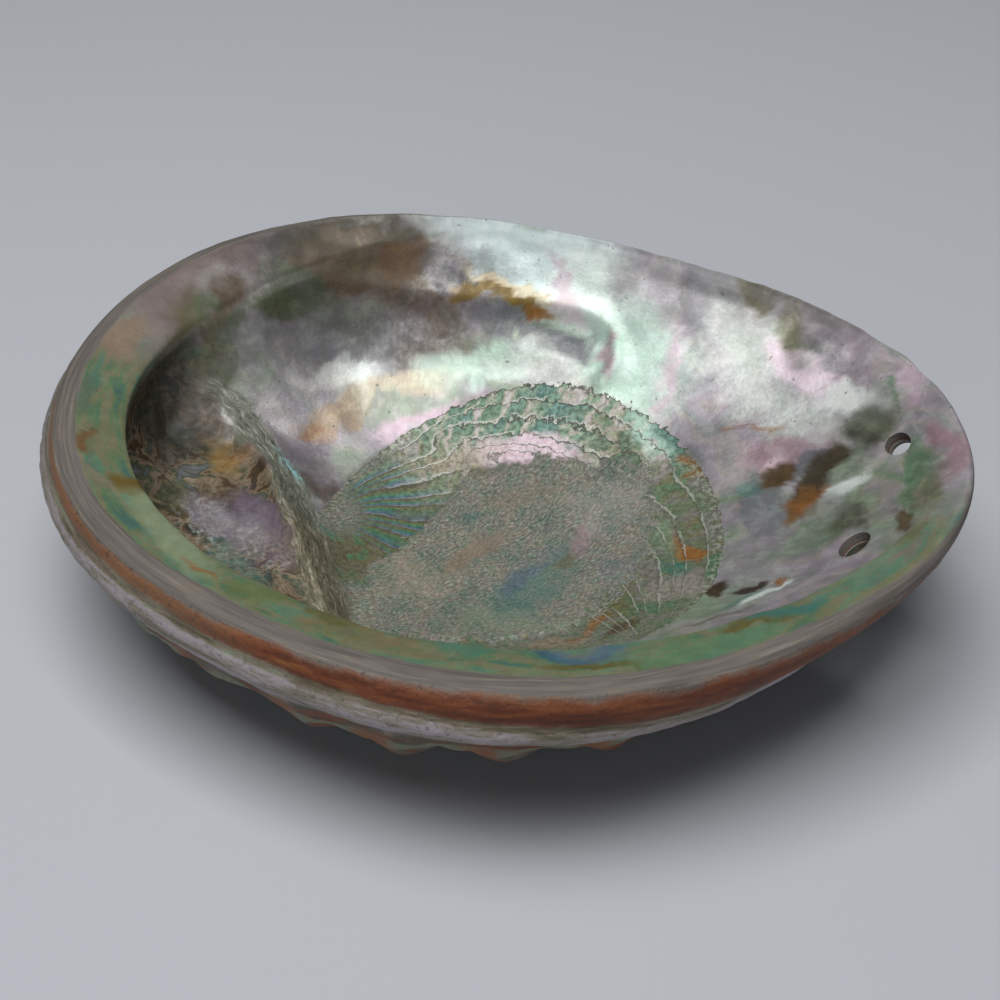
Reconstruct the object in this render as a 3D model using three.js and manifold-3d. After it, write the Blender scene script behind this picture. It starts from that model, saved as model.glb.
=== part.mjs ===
import * as THREE from 'three';
import { mergeVertices } from 'three/addons/utils/BufferGeometryUtils.js';
import Module from 'manifold-3d';

// An abalone shell lying on its back with the pearly inside up, in millimetres.
// X runs along the shell: the coiled end is at -X, the growing end with the two
// open breathing holes at +X. The thick inner lip is at -Y, the thin outer lip
// at +Y. Angles go round the shell from +X towards +Y, seen from above, and the
// origin is on the surface it rests on, under the middle of its bounding box.

// Driving dimensions. Each row has one value for every 30 degrees, from +X.
// A smooth closed curve follows the values without touching each one.
const RIM_RADIUS = [94, 85.5, 67, 64, 75.5, 94.5, 94, 86, 71.5, 71, 74, 79];
const RIM_HEIGHT = [43, 43.5, 45.5, 47, 47.5, 46, 43, 40.5, 38.5, 38.5, 39, 39];
const LIP_WIDTH = [5, 2.5, 2.2, 2.2, 3, 18, 14, 15.5, 13, 13.5, 13.5, 13];
const LIP_DROP = [2.5, 1.2, 1, 1, 1.2, 4.5, 3, 2, 1.5, 1.2, 1.2, 1.8];
const LIP_UNDERCUT = [0, 0, 0, 0, 0, 0, 0, 1.5, 3, 4, 3.5, 2];
const SIDE_DEPTH = [2.5, 3, 3, 3, 3, 5, 10, 8, 9.5, 8.5, 7.5, 4.5];
const SIDE_BULGE = [0.2, 0.8, 0.5, 0.5, 0.5, 2.5, 4, 3, 2, 3, 2, 0.3];

// How square the outside and the bowl are in section: 2 is a parabola.
const OUTSIDE_POWER = [1.95, 2.1, 2.2, 2.2, 2.3, 2.5, 2.8, 2.7, 2.6, 2.5, 2.3, 2];
const BOWL_POWER = [2.3, 2.2, 2.2, 2.2, 2.3, 2.5, 2.8, 3.2, 3.2, 3.2, 3, 2.7];

const BOWL_FLOOR = 6.8;        // height of the inside at its lowest
const OUTSIDE_FLOOR = -0.5;    // the dome before its top is worn flat at 0
const SEAT = [-15, -6];        // the middle of both, near the shell's weight
const MIDDLE = [2.8, 2.75];    // from the middle of its box to the sections' centre

// The hollow of the coil lies under the lip at the -X end, behind a straight
// ridge that crosses the shell and falls towards the inner lip.
const HOLLOW_OPENS = [152, 182];
const HOLLOW_CLOSES = [226, 254];
const RIDGE_DISTANCE = 36;
const RIDGE_ANGLE = 217;
const RIDGE_HEIGHT = 17;
const RIDGE_FALL = 0.2;

// The breathing holes: the last two are open, the older ones are sealed and
// stand out as knobs. All lie on one row round the shoulder of the shell. A step
// counts the control points of a section, from the underside to the bowl.
const KNOB_STEP = 6;
const OPEN_HOLES = [
  { angle: 14.5, step: 15.8, across: 5.4, along: 6 },
  { angle: 354.8, step: 16.7, across: 6, along: 8 },
];
const KNOBS = [
  { angle: 338, height: 1.5 },
  { angle: 319, height: 2.5 },
  { angle: 303, height: 4 },
  { angle: 287, height: 3.5 },
  { angle: 271, height: 3.2 },
  { angle: 253, height: 2.6 },
  { angle: 234, height: 1.8 },
];
const KNOB_RADIUS = 8.5;

// Mesh density.
const SECTIONS_ROUND = 96;
const ROWS_DOWN = 41;

const wasm = await Module();
wasm.setup();

const radians = (degrees) => degrees * Math.PI / 180;

function bsplineWeights(f) {
  return [
    (1 - f) ** 3 / 6,
    (3 * f ** 3 - 6 * f ** 2 + 4) / 6,
    (-3 * f ** 3 + 3 * f ** 2 + 3 * f + 1) / 6,
    f ** 3 / 6,
  ];
}

// The value at an angle of a row that closes on itself.
function around(row, degrees) {
  const place = (((degrees % 360) + 360) % 360) / 360 * row.length;
  const start = Math.floor(place);
  const weights = bsplineWeights(place - start);
  return weights.reduce((sum, weight, k) => {
    return sum + weight * row[(start + k - 1 + row.length) % row.length];
  }, 0);
}

const blend = (a, b, share) => a + (b - a) * share;

const ramp = (from, to, degrees) => THREE.MathUtils.smoothstep(degrees, from, to);

// Shares of the radius at which a section's control points lie.
const OUTSIDE_SHARES = [0, 0.16, 0.32, 0.48, 0.62, 0.75, 0.86, 0.95];
const BOWL_SHARES = [1, 0.975, 0.93, 0.87, 0.79, 0.70, 0.60, 0.49, 0.37, 0.25, 0.12, 0];
const UNDERCUT_SHARES = [0, 0.6, 1, 0.8, 0.4];

// Control points [radius, height, share] of the section at one angle, from the
// middle of the underside, out and over the rim, and down into the bowl.
function sectionPoints(degrees) {
  const rim = around(RIM_RADIUS, degrees);
  const height = around(RIM_HEIGHT, degrees);
  const width = around(LIP_WIDTH, degrees);
  const drop = around(LIP_DROP, degrees);
  const depth = around(SIDE_DEPTH, degrees);
  const bulge = around(SIDE_BULGE, degrees);

  const outRadius = rim + bulge;
  const outHeight = height - depth;
  const outPower = around(OUTSIDE_POWER, degrees);
  const points = OUTSIDE_SHARES.map((share) => [
    outRadius * share,
    blend(OUTSIDE_FLOOR, outHeight - 1.5, share ** outPower),
    share,
  ]);

  // the side, the crest of the rim and the top of the lip
  points.push([outRadius - 0.3, outHeight - 0.6, 1]);
  points.push([rim + 0.75 * bulge, height - 0.55 * depth, 1]);
  points.push([rim + 0.25 * bulge, height - 0.12 * depth - 0.3, 1]);
  points.push([rim - 0.18 * width, height + 0.5, 1]);
  points.push([rim - 0.45 * width, height - 0.25 * drop, 1]);
  points.push([rim - 0.8 * width, height - 0.7 * drop, 1]);

  const inRadius = rim - width;
  const inHeight = height - drop;
  const inPower = around(BOWL_POWER, degrees);
  const undercut = around(LIP_UNDERCUT, degrees);
  const bowl = BOWL_SHARES.map((share, k) => [
    inRadius * share + undercut * (UNDERCUT_SHARES[k] ?? 0),
    blend(BOWL_FLOOR, inHeight, share ** inPower),
    share,
  ]);

  const open = ramp(...HOLLOW_OPENS, degrees) * (1 - ramp(...HOLLOW_CLOSES, degrees));
  hollowPoints(degrees, inRadius, inHeight).forEach((target, k) => {
    bowl[k] = bowl[k].map((value, n) => blend(value, target[n], open));
  });
  return points.concat(bowl);
}

// The hollow undercuts the lip, turns back along its floor and climbs the ridge.
// Its points keep clear of the seat's shift, the last ones a little less so.
function hollowPoints(degrees, lipRadius, lipHeight) {
  const turn = radians(degrees - RIDGE_ANGLE);
  const ridge = RIDGE_DISTANCE / Math.max(Math.cos(turn), 0.5);
  const crest = RIDGE_HEIGHT - RIDGE_FALL * ridge * Math.sin(turn);
  return [
    [lipRadius, lipHeight, 1],
    [lipRadius + 1.5, lipHeight - 2.5, 1],
    [lipRadius + 4, lipHeight - 8, 1],
    [lipRadius + 2.5, lipHeight - 16, 1],
    [lipRadius - 6, lipHeight - 20.5, 1],
    [blend(lipRadius - 6, ridge, 0.45), lipHeight - 22, 1],
    [ridge + 5, crest - 2, 0.9],
    [ridge, crest + 1.5, 0.8],
    [ridge - 7, crest - 7.5, 0.7],
  ];
}

// A smooth curve down a section's control points, level at both ends, as
// [radius, height, how far the place moves with the seat].
function sectionPoint(points, step) {
  const last = points.length - 1;
  const start = Math.min(Math.floor(step), last - 1);
  const weights = bsplineWeights(step - start);
  let radius = 0;
  let height = 0;
  let seated = 0;
  weights.forEach((weight, k) => {
    const index = start + k - 1;
    const mirrored = index < 0 ? 1 : index > last ? last - 1 : index;
    const side = index < 0 || index > last ? -1 : 1;
    radius += weight * side * points[mirrored][0];
    height += weight * points[mirrored][1];
    seated += weight * (1 - points[mirrored][2] ** 2);
  });
  return [radius, height, seated];
}

function surfacePoint(degrees, step) {
  const [radius, height, seated] = sectionPoint(sectionPoints(degrees), step);
  return new THREE.Vector3(
    radius * Math.cos(radians(degrees)) + seated * SEAT[0],
    radius * Math.sin(radians(degrees)) + seated * SEAT[1],
    height,
  );
}

// The direction that points out of the shell at a place on its surface.
function surfaceNormal(degrees, step) {
  const here = surfacePoint(degrees, step);
  const onward = surfacePoint(degrees + 1, step).sub(here);
  const outward = surfacePoint(degrees, step + 0.05).sub(here);
  return onward.cross(outward).normalize();
}

// Rows of points round the shell, with one point at each end, as one closed mesh.
function shellGeometry() {
  const steps = sectionPoints(0).length - 1;
  const positions = [];
  const index = [];
  for (let row = 0; row < ROWS_DOWN; row += 1) {
    const step = steps * (row + 1) / (ROWS_DOWN + 1);
    for (let k = 0; k < SECTIONS_ROUND; k += 1) {
      positions.push(...surfacePoint(360 * k / SECTIONS_ROUND, step).toArray());
    }
  }
  const bottom = positions.length / 3;
  positions.push(...surfacePoint(0, 0).toArray());
  positions.push(...surfacePoint(0, steps).toArray());
  const at = (row, k) => row * SECTIONS_ROUND + k % SECTIONS_ROUND;
  for (let k = 0; k < SECTIONS_ROUND; k += 1) {
    index.push(bottom, at(0, k + 1), at(0, k));
    index.push(bottom + 1, at(ROWS_DOWN - 1, k), at(ROWS_DOWN - 1, k + 1));
    for (let row = 0; row < ROWS_DOWN - 1; row += 1) {
      index.push(at(row, k), at(row, k + 1), at(row + 1, k + 1));
      index.push(at(row, k), at(row + 1, k + 1), at(row + 1, k));
    }
  }
  const geometry = new THREE.BufferGeometry();
  geometry.setAttribute('position', new THREE.Float32BufferAttribute(positions, 3));
  geometry.setIndex(index);
  return geometry;
}

function solid(geometry) {
  geometry.deleteAttribute('normal');
  geometry.deleteAttribute('uv');
  const merged = mergeVertices(geometry, 1e-4);
  return new wasm.Manifold(new wasm.Mesh({
    numProp: 3,
    vertProperties: new Float32Array(merged.attributes.position.array),
    triVerts: new Uint32Array(merged.index.array),
  }));
}

// A low pointed knob; its root is sunk in the wall.
function knob({ angle, height }) {
  const root = 1.5;
  const outline = [
    [0, -root],
    [KNOB_RADIUS, -root],
    [KNOB_RADIUS * 0.72, height * 0.22],
    [KNOB_RADIUS * 0.42, height * 0.6],
    [KNOB_RADIUS * 0.16, height * 0.95],
    [0, height],
  ].map(([x, y]) => new THREE.Vector2(x, y));
  const geometry = new THREE.LatheGeometry(outline, 12);
  const axis = surfaceNormal(angle, KNOB_STEP);
  const place = new THREE.Matrix4().makeRotationFromQuaternion(
    new THREE.Quaternion().setFromUnitVectors(new THREE.Vector3(0, 1, 0), axis),
  );
  place.setPosition(surfacePoint(angle, KNOB_STEP));
  return solid(geometry.applyMatrix4(place));
}

// An oval cutter through the wall, longer along the row than across it.
function holeCutter({ angle, step, across, along }) {
  const length = 30;
  const geometry = new THREE.CylinderGeometry(across / 2, across / 2, length, 20);
  const axis = surfaceNormal(angle, step);
  const row = surfacePoint(angle + 1, step).sub(surfacePoint(angle, step));
  const side = new THREE.Vector3().crossVectors(axis, row).normalize();
  const onward = new THREE.Vector3().crossVectors(side, axis);
  geometry.scale(along / across, 1, 1);
  const place = new THREE.Matrix4().makeBasis(onward, axis, onward.clone().cross(axis));
  place.setPosition(surfacePoint(angle, step));
  return solid(geometry.applyMatrix4(place));
}

// The dome of the shell is worn flat where it rests.
function floorCutter() {
  const size = 400;
  const geometry = new THREE.BoxGeometry(size, size, size);
  return solid(geometry.translate(0, 0, -size / 2));
}

function abaloneShell() {
  let body = solid(shellGeometry());
  KNOBS.forEach((spec) => {
    body = body.add(knob(spec));
  });
  OPEN_HOLES.forEach((spec) => {
    body = body.subtract(holeCutter(spec));
  });
  body = body.subtract(floorCutter());
  const { vertProperties, triVerts } = body.getMesh();
  const geometry = new THREE.BufferGeometry();
  geometry.setAttribute('position', new THREE.Float32BufferAttribute(vertProperties, 3));
  geometry.setIndex(Array.from(triVerts));
  return geometry;
}

const nacre = new THREE.MeshStandardMaterial({
  color: 0xa8a69c,
  roughness: 0.3,
  metalness: 0.2,
});

const group = new THREE.Group();
const shell = new THREE.Mesh(abaloneShell(), nacre);
shell.name = 'abalone_shell';
shell.position.set(MIDDLE[0], MIDDLE[1], 0);
group.add(shell);

export default group;
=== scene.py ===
import bpy
import math
import numpy as np
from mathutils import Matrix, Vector


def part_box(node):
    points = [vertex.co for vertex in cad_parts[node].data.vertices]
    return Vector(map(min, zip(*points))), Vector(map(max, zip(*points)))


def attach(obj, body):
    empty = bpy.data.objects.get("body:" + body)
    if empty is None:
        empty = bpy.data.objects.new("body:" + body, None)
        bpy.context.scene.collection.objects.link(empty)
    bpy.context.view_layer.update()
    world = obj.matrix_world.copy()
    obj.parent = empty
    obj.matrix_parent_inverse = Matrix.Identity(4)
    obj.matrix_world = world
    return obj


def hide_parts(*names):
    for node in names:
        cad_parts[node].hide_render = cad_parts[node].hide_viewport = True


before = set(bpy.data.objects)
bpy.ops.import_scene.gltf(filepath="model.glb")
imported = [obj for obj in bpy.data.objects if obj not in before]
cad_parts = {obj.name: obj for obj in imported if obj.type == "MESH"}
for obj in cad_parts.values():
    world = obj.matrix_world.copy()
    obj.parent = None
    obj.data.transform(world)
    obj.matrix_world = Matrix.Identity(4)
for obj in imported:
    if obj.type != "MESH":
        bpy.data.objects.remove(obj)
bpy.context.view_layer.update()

# An abalone shell on its back, pearly side up. Shapes are worked out in millimetres
# in the shell's own frame: the coiled end at -X, the growing end with the two open
# holes at +X, the thick inner lip at -Y, the thin outer lip at +Y, Z up.
MM = 0.001
SHELL = "abalone_shell"


# ---- the shell's sections

# One value for every 30 degrees from +X; a smooth closed curve follows each row.
RIM_RADIUS = [94, 85.5, 67, 64, 75.5, 94.5, 94, 86, 71.5, 71, 74, 79]
RIM_HEIGHT = [43, 43.5, 45.5, 47, 47.5, 46, 43, 40.5, 38.5, 38.5, 39, 39]
LIP_WIDTH = [5, 2.5, 2.2, 2.2, 3, 18, 14, 15.5, 13, 13.5, 13.5, 13]
LIP_DROP = [2.5, 1.2, 1, 1, 2.2, 6, 3, 2, 1.5, 1.2, 1.2, 1.8]
LIP_UNDERCUT = [0, 0, 0, 0, 0, 0, 0, 1.5, 3, 4, 3.5, 2]
SIDE_DEPTH = [2.5, 3, 3, 3, 3, 5, 10, 8, 9.5, 8.5, 7.5, 4.5]
SIDE_BULGE = [0.2, 0.8, 0.5, 0.5, 0.5, 2.5, 4, 3, 2, 3, 2, 0.3]
OUTSIDE_POWER = [1.95, 2.1, 2.2, 2.2, 2.3, 2.5, 2.8, 2.7, 2.6, 2.5, 2.3, 2]
BOWL_POWER = [2.3, 2.2, 2.2, 2.2, 2.3, 2.5, 2.8, 3.2, 3.2, 3.2, 3, 2.7]

BOWL_FLOOR = 6.8
OUTSIDE_FLOOR = -0.5
SEAT = (-15, -6)
LIP_BROADENS = (142, 157)
HOLLOW_OPENS = (152, 182)
HOLLOW_CLOSES = (226, 254)
HOLLOW_ENDS = (20.5, 21.5)  # steps, on the ridge
BROAD_LIP = (4, 9)          # widths in mm over which the lip turns from thin to broad
RIDGE_DISTANCE = 36
RIDGE_ANGLE = 217
RIDGE_HEIGHT = 17
RIDGE_FALL = 0.2

OUTSIDE_SHARES = [0, 0.16, 0.32, 0.48, 0.62, 0.75, 0.86, 0.95]
BOWL_SHARES = [1, 0.975, 0.93, 0.87, 0.79, 0.70, 0.60, 0.49, 0.37, 0.25, 0.12, 0]
UNDERCUT_SHARES = [0, 0.6, 1, 0.8, 0.4]
CREST_STEP = 11.2           # the top of the rim, counted in control points
LIP_STEP = 14.2             # the inner edge of the lip
LAST_STEP = 25              # the middle of the bowl

# Angle and step of the holes; half sizes in mm.
HOLES = [
    {"angle": 14.5, "step": 15.8, "along": 3.0, "across": 2.7},
    {"angle": 354.8, "step": 16.7, "along": 4.0, "across": 3.0},
]
KNOB_STEP = 6
KNOB_RADIUS = 11
# Shares of the radius, and the shares of the height there.
KNOB_PROFILE = ([0, 0.14, 0.42, 0.72, 1.05], [0.98, 0.88, 0.56, 0.22, 0])
# Angle and height in mm of each.
KNOBS = [(338, 2), (319, 3.6), (303, 4.8), (287, 4.3), (271, 4.2), (255, 3.4), (236, 2.6), (216, 2)]


def bspline_weights(part):
    return [
        (1 - part) ** 3 / 6,
        (3 * part**3 - 6 * part**2 + 4) / 6,
        (-3 * part**3 + 3 * part**2 + 3 * part + 1) / 6,
        part**3 / 6,
    ]


def around(row, angle):
    """The value at an angle, in degrees, of a row that closes on itself."""
    row = np.asarray(row, float)
    place = np.mod(angle, 360) / 360 * len(row)
    start = np.floor(place).astype(int)
    weights = bspline_weights(place - start)
    return sum(w * row[(start + k - 1) % len(row)] for k, w in enumerate(weights))


def ramp(value, low, high):
    part = np.clip((value - low) / (high - low), 0, 1)
    return part * part * (3 - 2 * part)


def bell(value, width):
    """1 at 0, falling off on both sides, to about a third at a width away."""
    return np.exp(-((value / width) ** 2))


def blend(a, b, share):
    return a + (b - a) * share


def hollow_opening(angle):
    """1 at the angles where the hollow of the coil lies, and 0 away from it."""
    angle = angle % 360
    return ramp(angle, *HOLLOW_OPENS) * (1 - ramp(angle, *HOLLOW_CLOSES))


def section_points(angle):
    """Control points (radius, height, share) of the sections at an array of angles."""
    rim = around(RIM_RADIUS, angle)
    height = around(RIM_HEIGHT, angle)
    width = around(LIP_WIDTH, angle)
    drop = around(LIP_DROP, angle)
    depth = around(SIDE_DEPTH, angle)
    bulge = around(SIDE_BULGE, angle)

    out_radius = rim + bulge
    out_height = height - depth
    out_power = around(OUTSIDE_POWER, angle)
    points = [
        (out_radius * s, blend(OUTSIDE_FLOOR, out_height - 1.5, s**out_power), s)
        for s in OUTSIDE_SHARES
    ]
    points.append((out_radius - 0.3, out_height - 0.6, 1))
    points.append((rim + 0.75 * bulge, height - 0.55 * depth, 1))
    points.append((rim + 0.25 * bulge, height - 0.12 * depth - 0.3, 1))
    points.append((rim - 0.18 * width, height + 0.5, 1))
    points.append((rim - 0.45 * width, height - 0.25 * drop, 1))
    points.append((rim - 0.8 * width, height - 0.7 * drop, 1))

    lip_radius = rim - width
    lip_height = height - drop
    bowl_power = around(BOWL_POWER, angle)
    undercut = around(LIP_UNDERCUT, angle)
    open_part = hollow_opening(angle)
    hollow = hollow_points(angle, lip_radius, lip_height)
    for k, s in enumerate(BOWL_SHARES):
        under = UNDERCUT_SHARES[k] if k < len(UNDERCUT_SHARES) else 0
        point = (
            lip_radius * s + undercut * under,
            blend(BOWL_FLOOR, lip_height, s**bowl_power),
            s,
        )
        if k < len(hollow):
            point = tuple(blend(a, b, open_part) for a, b in zip(point, hollow[k]))
        points.append(point)
    ones = np.ones_like(angle)
    return [np.array([point[n] * ones for point in points]) for n in range(3)]


def hollow_points(angle, lip_radius, lip_height):
    """The hollow of the coil: under the lip, back along its floor and up the ridge."""
    turn = np.radians(angle - RIDGE_ANGLE)
    ridge = RIDGE_DISTANCE / np.maximum(np.cos(turn), 0.5)
    crest = RIDGE_HEIGHT - RIDGE_FALL * ridge * np.sin(turn)
    return [
        (lip_radius, lip_height, 1),
        (lip_radius + 1.5, lip_height - 2.5, 1),
        (lip_radius + 4, lip_height - 8, 1),
        (lip_radius + 2.5, lip_height - 16, 1),
        (lip_radius - 6, lip_height - 20.5, 1),
        (blend(lip_radius - 6, ridge, 0.45), lip_height - 22, 1),
        (ridge + 5, crest - 2, 0.9),
        (ridge, crest + 1.5, 0.8),
        (ridge - 7, crest - 7.5, 0.7),
    ]


def section_place(angle, step):
    """Places on the shell at arrays of angles and steps, about the sections' centre."""
    radius, height, share = section_points(angle)
    seated = 1 - share**2
    last = radius.shape[0] - 1
    start = np.clip(np.floor(step).astype(int), 0, last - 1)
    weights = bspline_weights(step - start)
    column = np.arange(len(angle))
    sums = [0, 0, 0]
    for k, weight in enumerate(weights):
        index = start + k - 1
        beyond = (index < 0) | (index > last)
        index = np.where(index < 0, 1, np.where(index > last, last - 1, index))
        sums[0] += weight * np.where(beyond, -1, 1) * radius[index, column]
        sums[1] += weight * height[index, column]
        sums[2] += weight * seated[index, column]
    turn = np.radians(angle)
    return np.stack([
        sums[0] * np.cos(turn) + SEAT[0] * sums[2],
        sums[0] * np.sin(turn) + SEAT[1] * sums[2],
        sums[1],
    ], axis=-1)


def sections_middle():
    """Where the sections' centre lies, so that their box fits the CAD model's box."""
    angle, step = np.meshgrid(np.arange(0, 360, 3.75), np.linspace(6, 14, 60))
    places = section_place(angle.ravel(), step.ravel())
    low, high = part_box(SHELL)
    middle = (np.array(low) + np.array(high)) / 2 / MM
    own = (places.min(axis=0) + places.max(axis=0)) / 2
    return np.array([middle[0] - own[0], middle[1] - own[1], 0])


MIDDLE = sections_middle()


def surface(angle, step):
    return section_place(angle, step) + MIDDLE


def surface_normal(angle, step):
    onward = surface(angle + 0.2, step) - surface(angle - 0.2, step)
    across = surface(angle, step + 0.02) - surface(angle, np.maximum(step - 0.02, 0))
    normal = np.cross(onward, across)
    return normal / np.maximum(np.linalg.norm(normal, axis=1), 1e-9)[:, None]


# ---- random relief

def lattice(cells, seed):
    """A fixed random value from -1 to 1 for each cell, scrambled by large odd numbers."""
    key = cells[:, 0] * 374761393 + cells[:, 1] * 668265263 + cells[:, 2] * 2147483647
    key = (key + seed * 974634777) & 0xFFFFFFFF
    key = ((key ^ (key >> 13)) * 1274126177) & 0xFFFFFFFF
    return ((key ^ (key >> 16)) & 0xFFFF) / 32767.5 - 1


def lumps(places, size, seed):
    """Smooth random values from -1 to 1, in lumps of about a size in mm."""
    spots = places / size + 11.3 * seed
    cells = np.floor(spots).astype(np.int64)
    part = spots - cells
    part = part * part * (3 - 2 * part)
    total = np.zeros(len(places))
    for corner in range(8):
        shift = np.array([corner & 1, corner >> 1 & 1, corner >> 2])
        weight = np.prod(np.where(shift, part, 1 - part), axis=1)
        total += weight * lattice(cells + shift, seed)
    return total


def rough(places, size, seed, octaves=3):
    """Lumps with finer lumps on them."""
    return sum(lumps(places, size / 2**k, seed + k) / 2**k for k in range(octaves))


def rounded(line):
    """A broken line with its corners cut round."""
    points = np.array(line, float)
    for _ in range(3):
        a, b = points[:-1], points[1:]
        cuts = np.stack([blend(a, b, 0.25), blend(a, b, 0.75)], axis=1).reshape(-1, 2)
        points = np.concatenate([points[:1], cuts, points[-1:]])
    return points


def line_place(places, line):
    """How far along a line in plan a place lies, and how far out on its left side."""
    line = rounded(line)
    gap = np.full(len(places), 1e9)
    along, side = np.zeros(len(places)), np.ones(len(places))
    start = 0.0
    for a, b in zip(line[:-1], line[1:]):
        run = b - a
        length = np.linalg.norm(run)
        offset = places[:, :2] - a
        part = np.clip(offset @ run / length**2, 0, 1)
        here = np.linalg.norm(offset - part[:, None] * run, axis=1)
        nearer = here < gap
        gap = np.where(nearer, here, gap)
        along = np.where(nearer, start + part * length, along)
        left = run[0] * offset[:, 1] - run[1] * offset[:, 0]
        side = np.where(nearer, np.where(left < 0, -1, 1), side)
        start += length
    return along, gap * side


def outline_depth(places, outline):
    """How far inside a closed outline in plan a place lies; below 0 outside it."""
    line = rounded(outline + outline[:1])
    x, y = places[:, 0], places[:, 1]
    inside = np.zeros(len(places), bool)
    for (x0, y0), (x1, y1) in zip(line[:-1], line[1:]):
        if y0 != y1:
            beyond = x < x0 + (y - y0) * (x1 - x0) / (y1 - y0)
            inside ^= ((y0 > y) != (y1 > y)) & beyond
    return np.where(inside, 1, -1) * np.abs(line_place(places, outline + outline[:1])[1])


def oval_distance(places, x, y, half_x, half_y, turn=0):
    """0 at the middle of an oval in plan and 1 on its edge."""
    c, s = math.cos(math.radians(turn)), math.sin(math.radians(turn))
    dx, dy = places[:, 0] - x, places[:, 1] - y
    return np.hypot((dx * c + dy * s) / half_x, (dy * c - dx * s) / half_y)


# ---- the scar and its bands

# The muscle scar's old edges are arcs through the same two places: seen from a place
# on one arc, the two stand at the same angle. Band 0 is the scar's outer edge.
BANDS_FROM = (-38.5, 3.5)
BANDS_TO = (36, -30)
OUTER_ANGLE = 71
NEAR_ANGLE = 105            # the same on the near side of the two places
BANDS_BETWEEN = 11.5
GRAIN = [(-10, 23), (2, 27), (16, 28), (28, 26), (32, 15), (31, -3), (26, -12), (24, -18),
         (17, -22), (0, -27), (-15, -29), (-28, -28), (-27, -18), (-24, -8), (-18, 5),
         (-14, 15)]
RIDGE = [(-76, 18), (-66, 20.5), (-57, 17), (-49, 9), (-42, -1), (-35, -13), (-24, -31)]


def scar_bands(places):
    """How many bands a place lies inside the scar's outer edge."""
    a = np.array(BANDS_FROM) - places[:, :2]
    b = np.array(BANDS_TO) - places[:, :2]
    size = np.linalg.norm(a, axis=1) * np.linalg.norm(b, axis=1)
    angle = np.degrees(np.arccos(np.clip((a * b).sum(axis=1) / size, -1, 1)))
    near = a[:, 0] * b[:, 1] < a[:, 1] * b[:, 0]
    outer = np.where(near, NEAR_ANGLE, OUTER_ANGLE)
    even = BANDS_BETWEEN * np.log(np.maximum(angle, 1) / outer) / np.log(180 / outer)
    uneven = 0.22 * np.sin(2.3 * even) + 0.4 * lumps(places, 11, 43)
    return even + uneven * ramp(even, 0, 1.5)


def ridge_place(places):
    """Distances across and along the fibrous ridge, and across as a share of its width."""
    along, across = line_place(places, RIDGE)
    across = across + 0.8 * lumps(places, 9, 45)
    width = 1.4 + 3.0 * ramp(along, 2, 40)
    return across, along, np.abs(across) / width


# ---- relief

# A low ledge runs along the outer wall and turns down at its end like a hook.
LEDGE = [(-63, 36), (-60, 44), (-50, 51), (-38, 55), (-24, 57), (-8, 57.5), (4, 57),
         (12, 55), (16, 51), (16.5, 47), (14, 43.5)]
# Ovals in plan: middle, half sizes and turn. The old holes are dents on the inside.
LEDGE_DENT = (-16, 49, 36, 8, 4)
BLISTER = (60, 48, 9, 7, -35)
OLD_HOLES = [(55.5, 22, 3.2, 3.0, 0), (62.5, 16, 4.0, 6.5, -25), (48, -9, 2.6, 3.4, 20),
             (54.5, -13, 2.2, 2, 0), (60, -15, 1.2, 2, 0)]
SMOOTH_OVAL = (54, 11.5, 4.8, 7.5, 10)
ROUGHENED = [(72, 33), (71, 24), (72, 12), (71, 2), (66, -6), (75, -12)]
SWIRL = (-67, 8)
APEX = (-66, 2)
NEVER_0 = 1e-6              # added to a distance whose logarithm is taken
RIB_LEAN = 0.55
GROWTH_LINES = 34           # from the apex to the rim
WHORL_GROWTH = 2.9          # each turn of the coil to the one before
RIBS = 31                   # spiral ribs in a full turn about the apex


def bowl_relief(places, bands, grain, ridge):
    """Height of the pearly inside's relief, in mm."""
    scar = ramp(bands, -0.3, 0.3)
    wall = 1 - scar
    height = 0.6 * lumps(places, 24, 1) * wall
    height += 0.2 * rough(places, 9, 3, 2) * wall
    height += ledge_relief(places)

    jagged = bands + 0.3 * rough(places, 2.2, 7)
    steps = np.floor(jagged) + ramp(jagged - np.floor(jagged), 0.72, 1)
    grainy = ramp(grain, -1, 1.5)
    from_tip = np.hypot(places[:, 0] - BANDS_FROM[0], places[:, 1] - BANDS_FROM[1])
    height -= 0.12 * np.clip(steps, 0, 9) * scar * (1 - grainy) * ramp(from_tip, 6, 24)
    height += grainy * (0.14 * rough(places, 1.6, 11) + 0.3 * lumps(places, 8, 15))

    across, along, share = ridge
    fibres = np.stack([across / 0.7, along / 7, 0 * along], axis=1)
    here = 1 - ramp(share, 0.7, 1.2)
    height += here * (0.1 * lumps(fibres, 1, 33) + 0.18 * rough(places, 3.4, 34))
    height += swirl_relief(places)

    blister = oval_distance(places, *BLISTER)
    height += 0.8 * (1 - ramp(blister, 0, 1.15)) + 0.05 * np.cos(11 * blister) * (blister < 1.3)
    for oval in OLD_HOLES:
        height -= 0.4 * (1 - ramp(oval_distance(places, *oval), 0.5, 1.2))
    height += 0.5 * (1 - ramp(oval_distance(places, *SMOOTH_OVAL), 0.3, 1.1))
    roughened = 1 - ramp(np.abs(line_place(places, ROUGHENED)[1]), 0, 6)
    height += roughened * 0.25 * rough(places, 1.8, 21)
    return height


def ledge_relief(places):
    gap = line_place(places, LEDGE)[1]
    dent = -0.6 * (1 - ramp(oval_distance(places, *LEDGE_DENT), 0.5, 1.1))
    return 0.55 * bell(gap, 1.8) + dent


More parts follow.
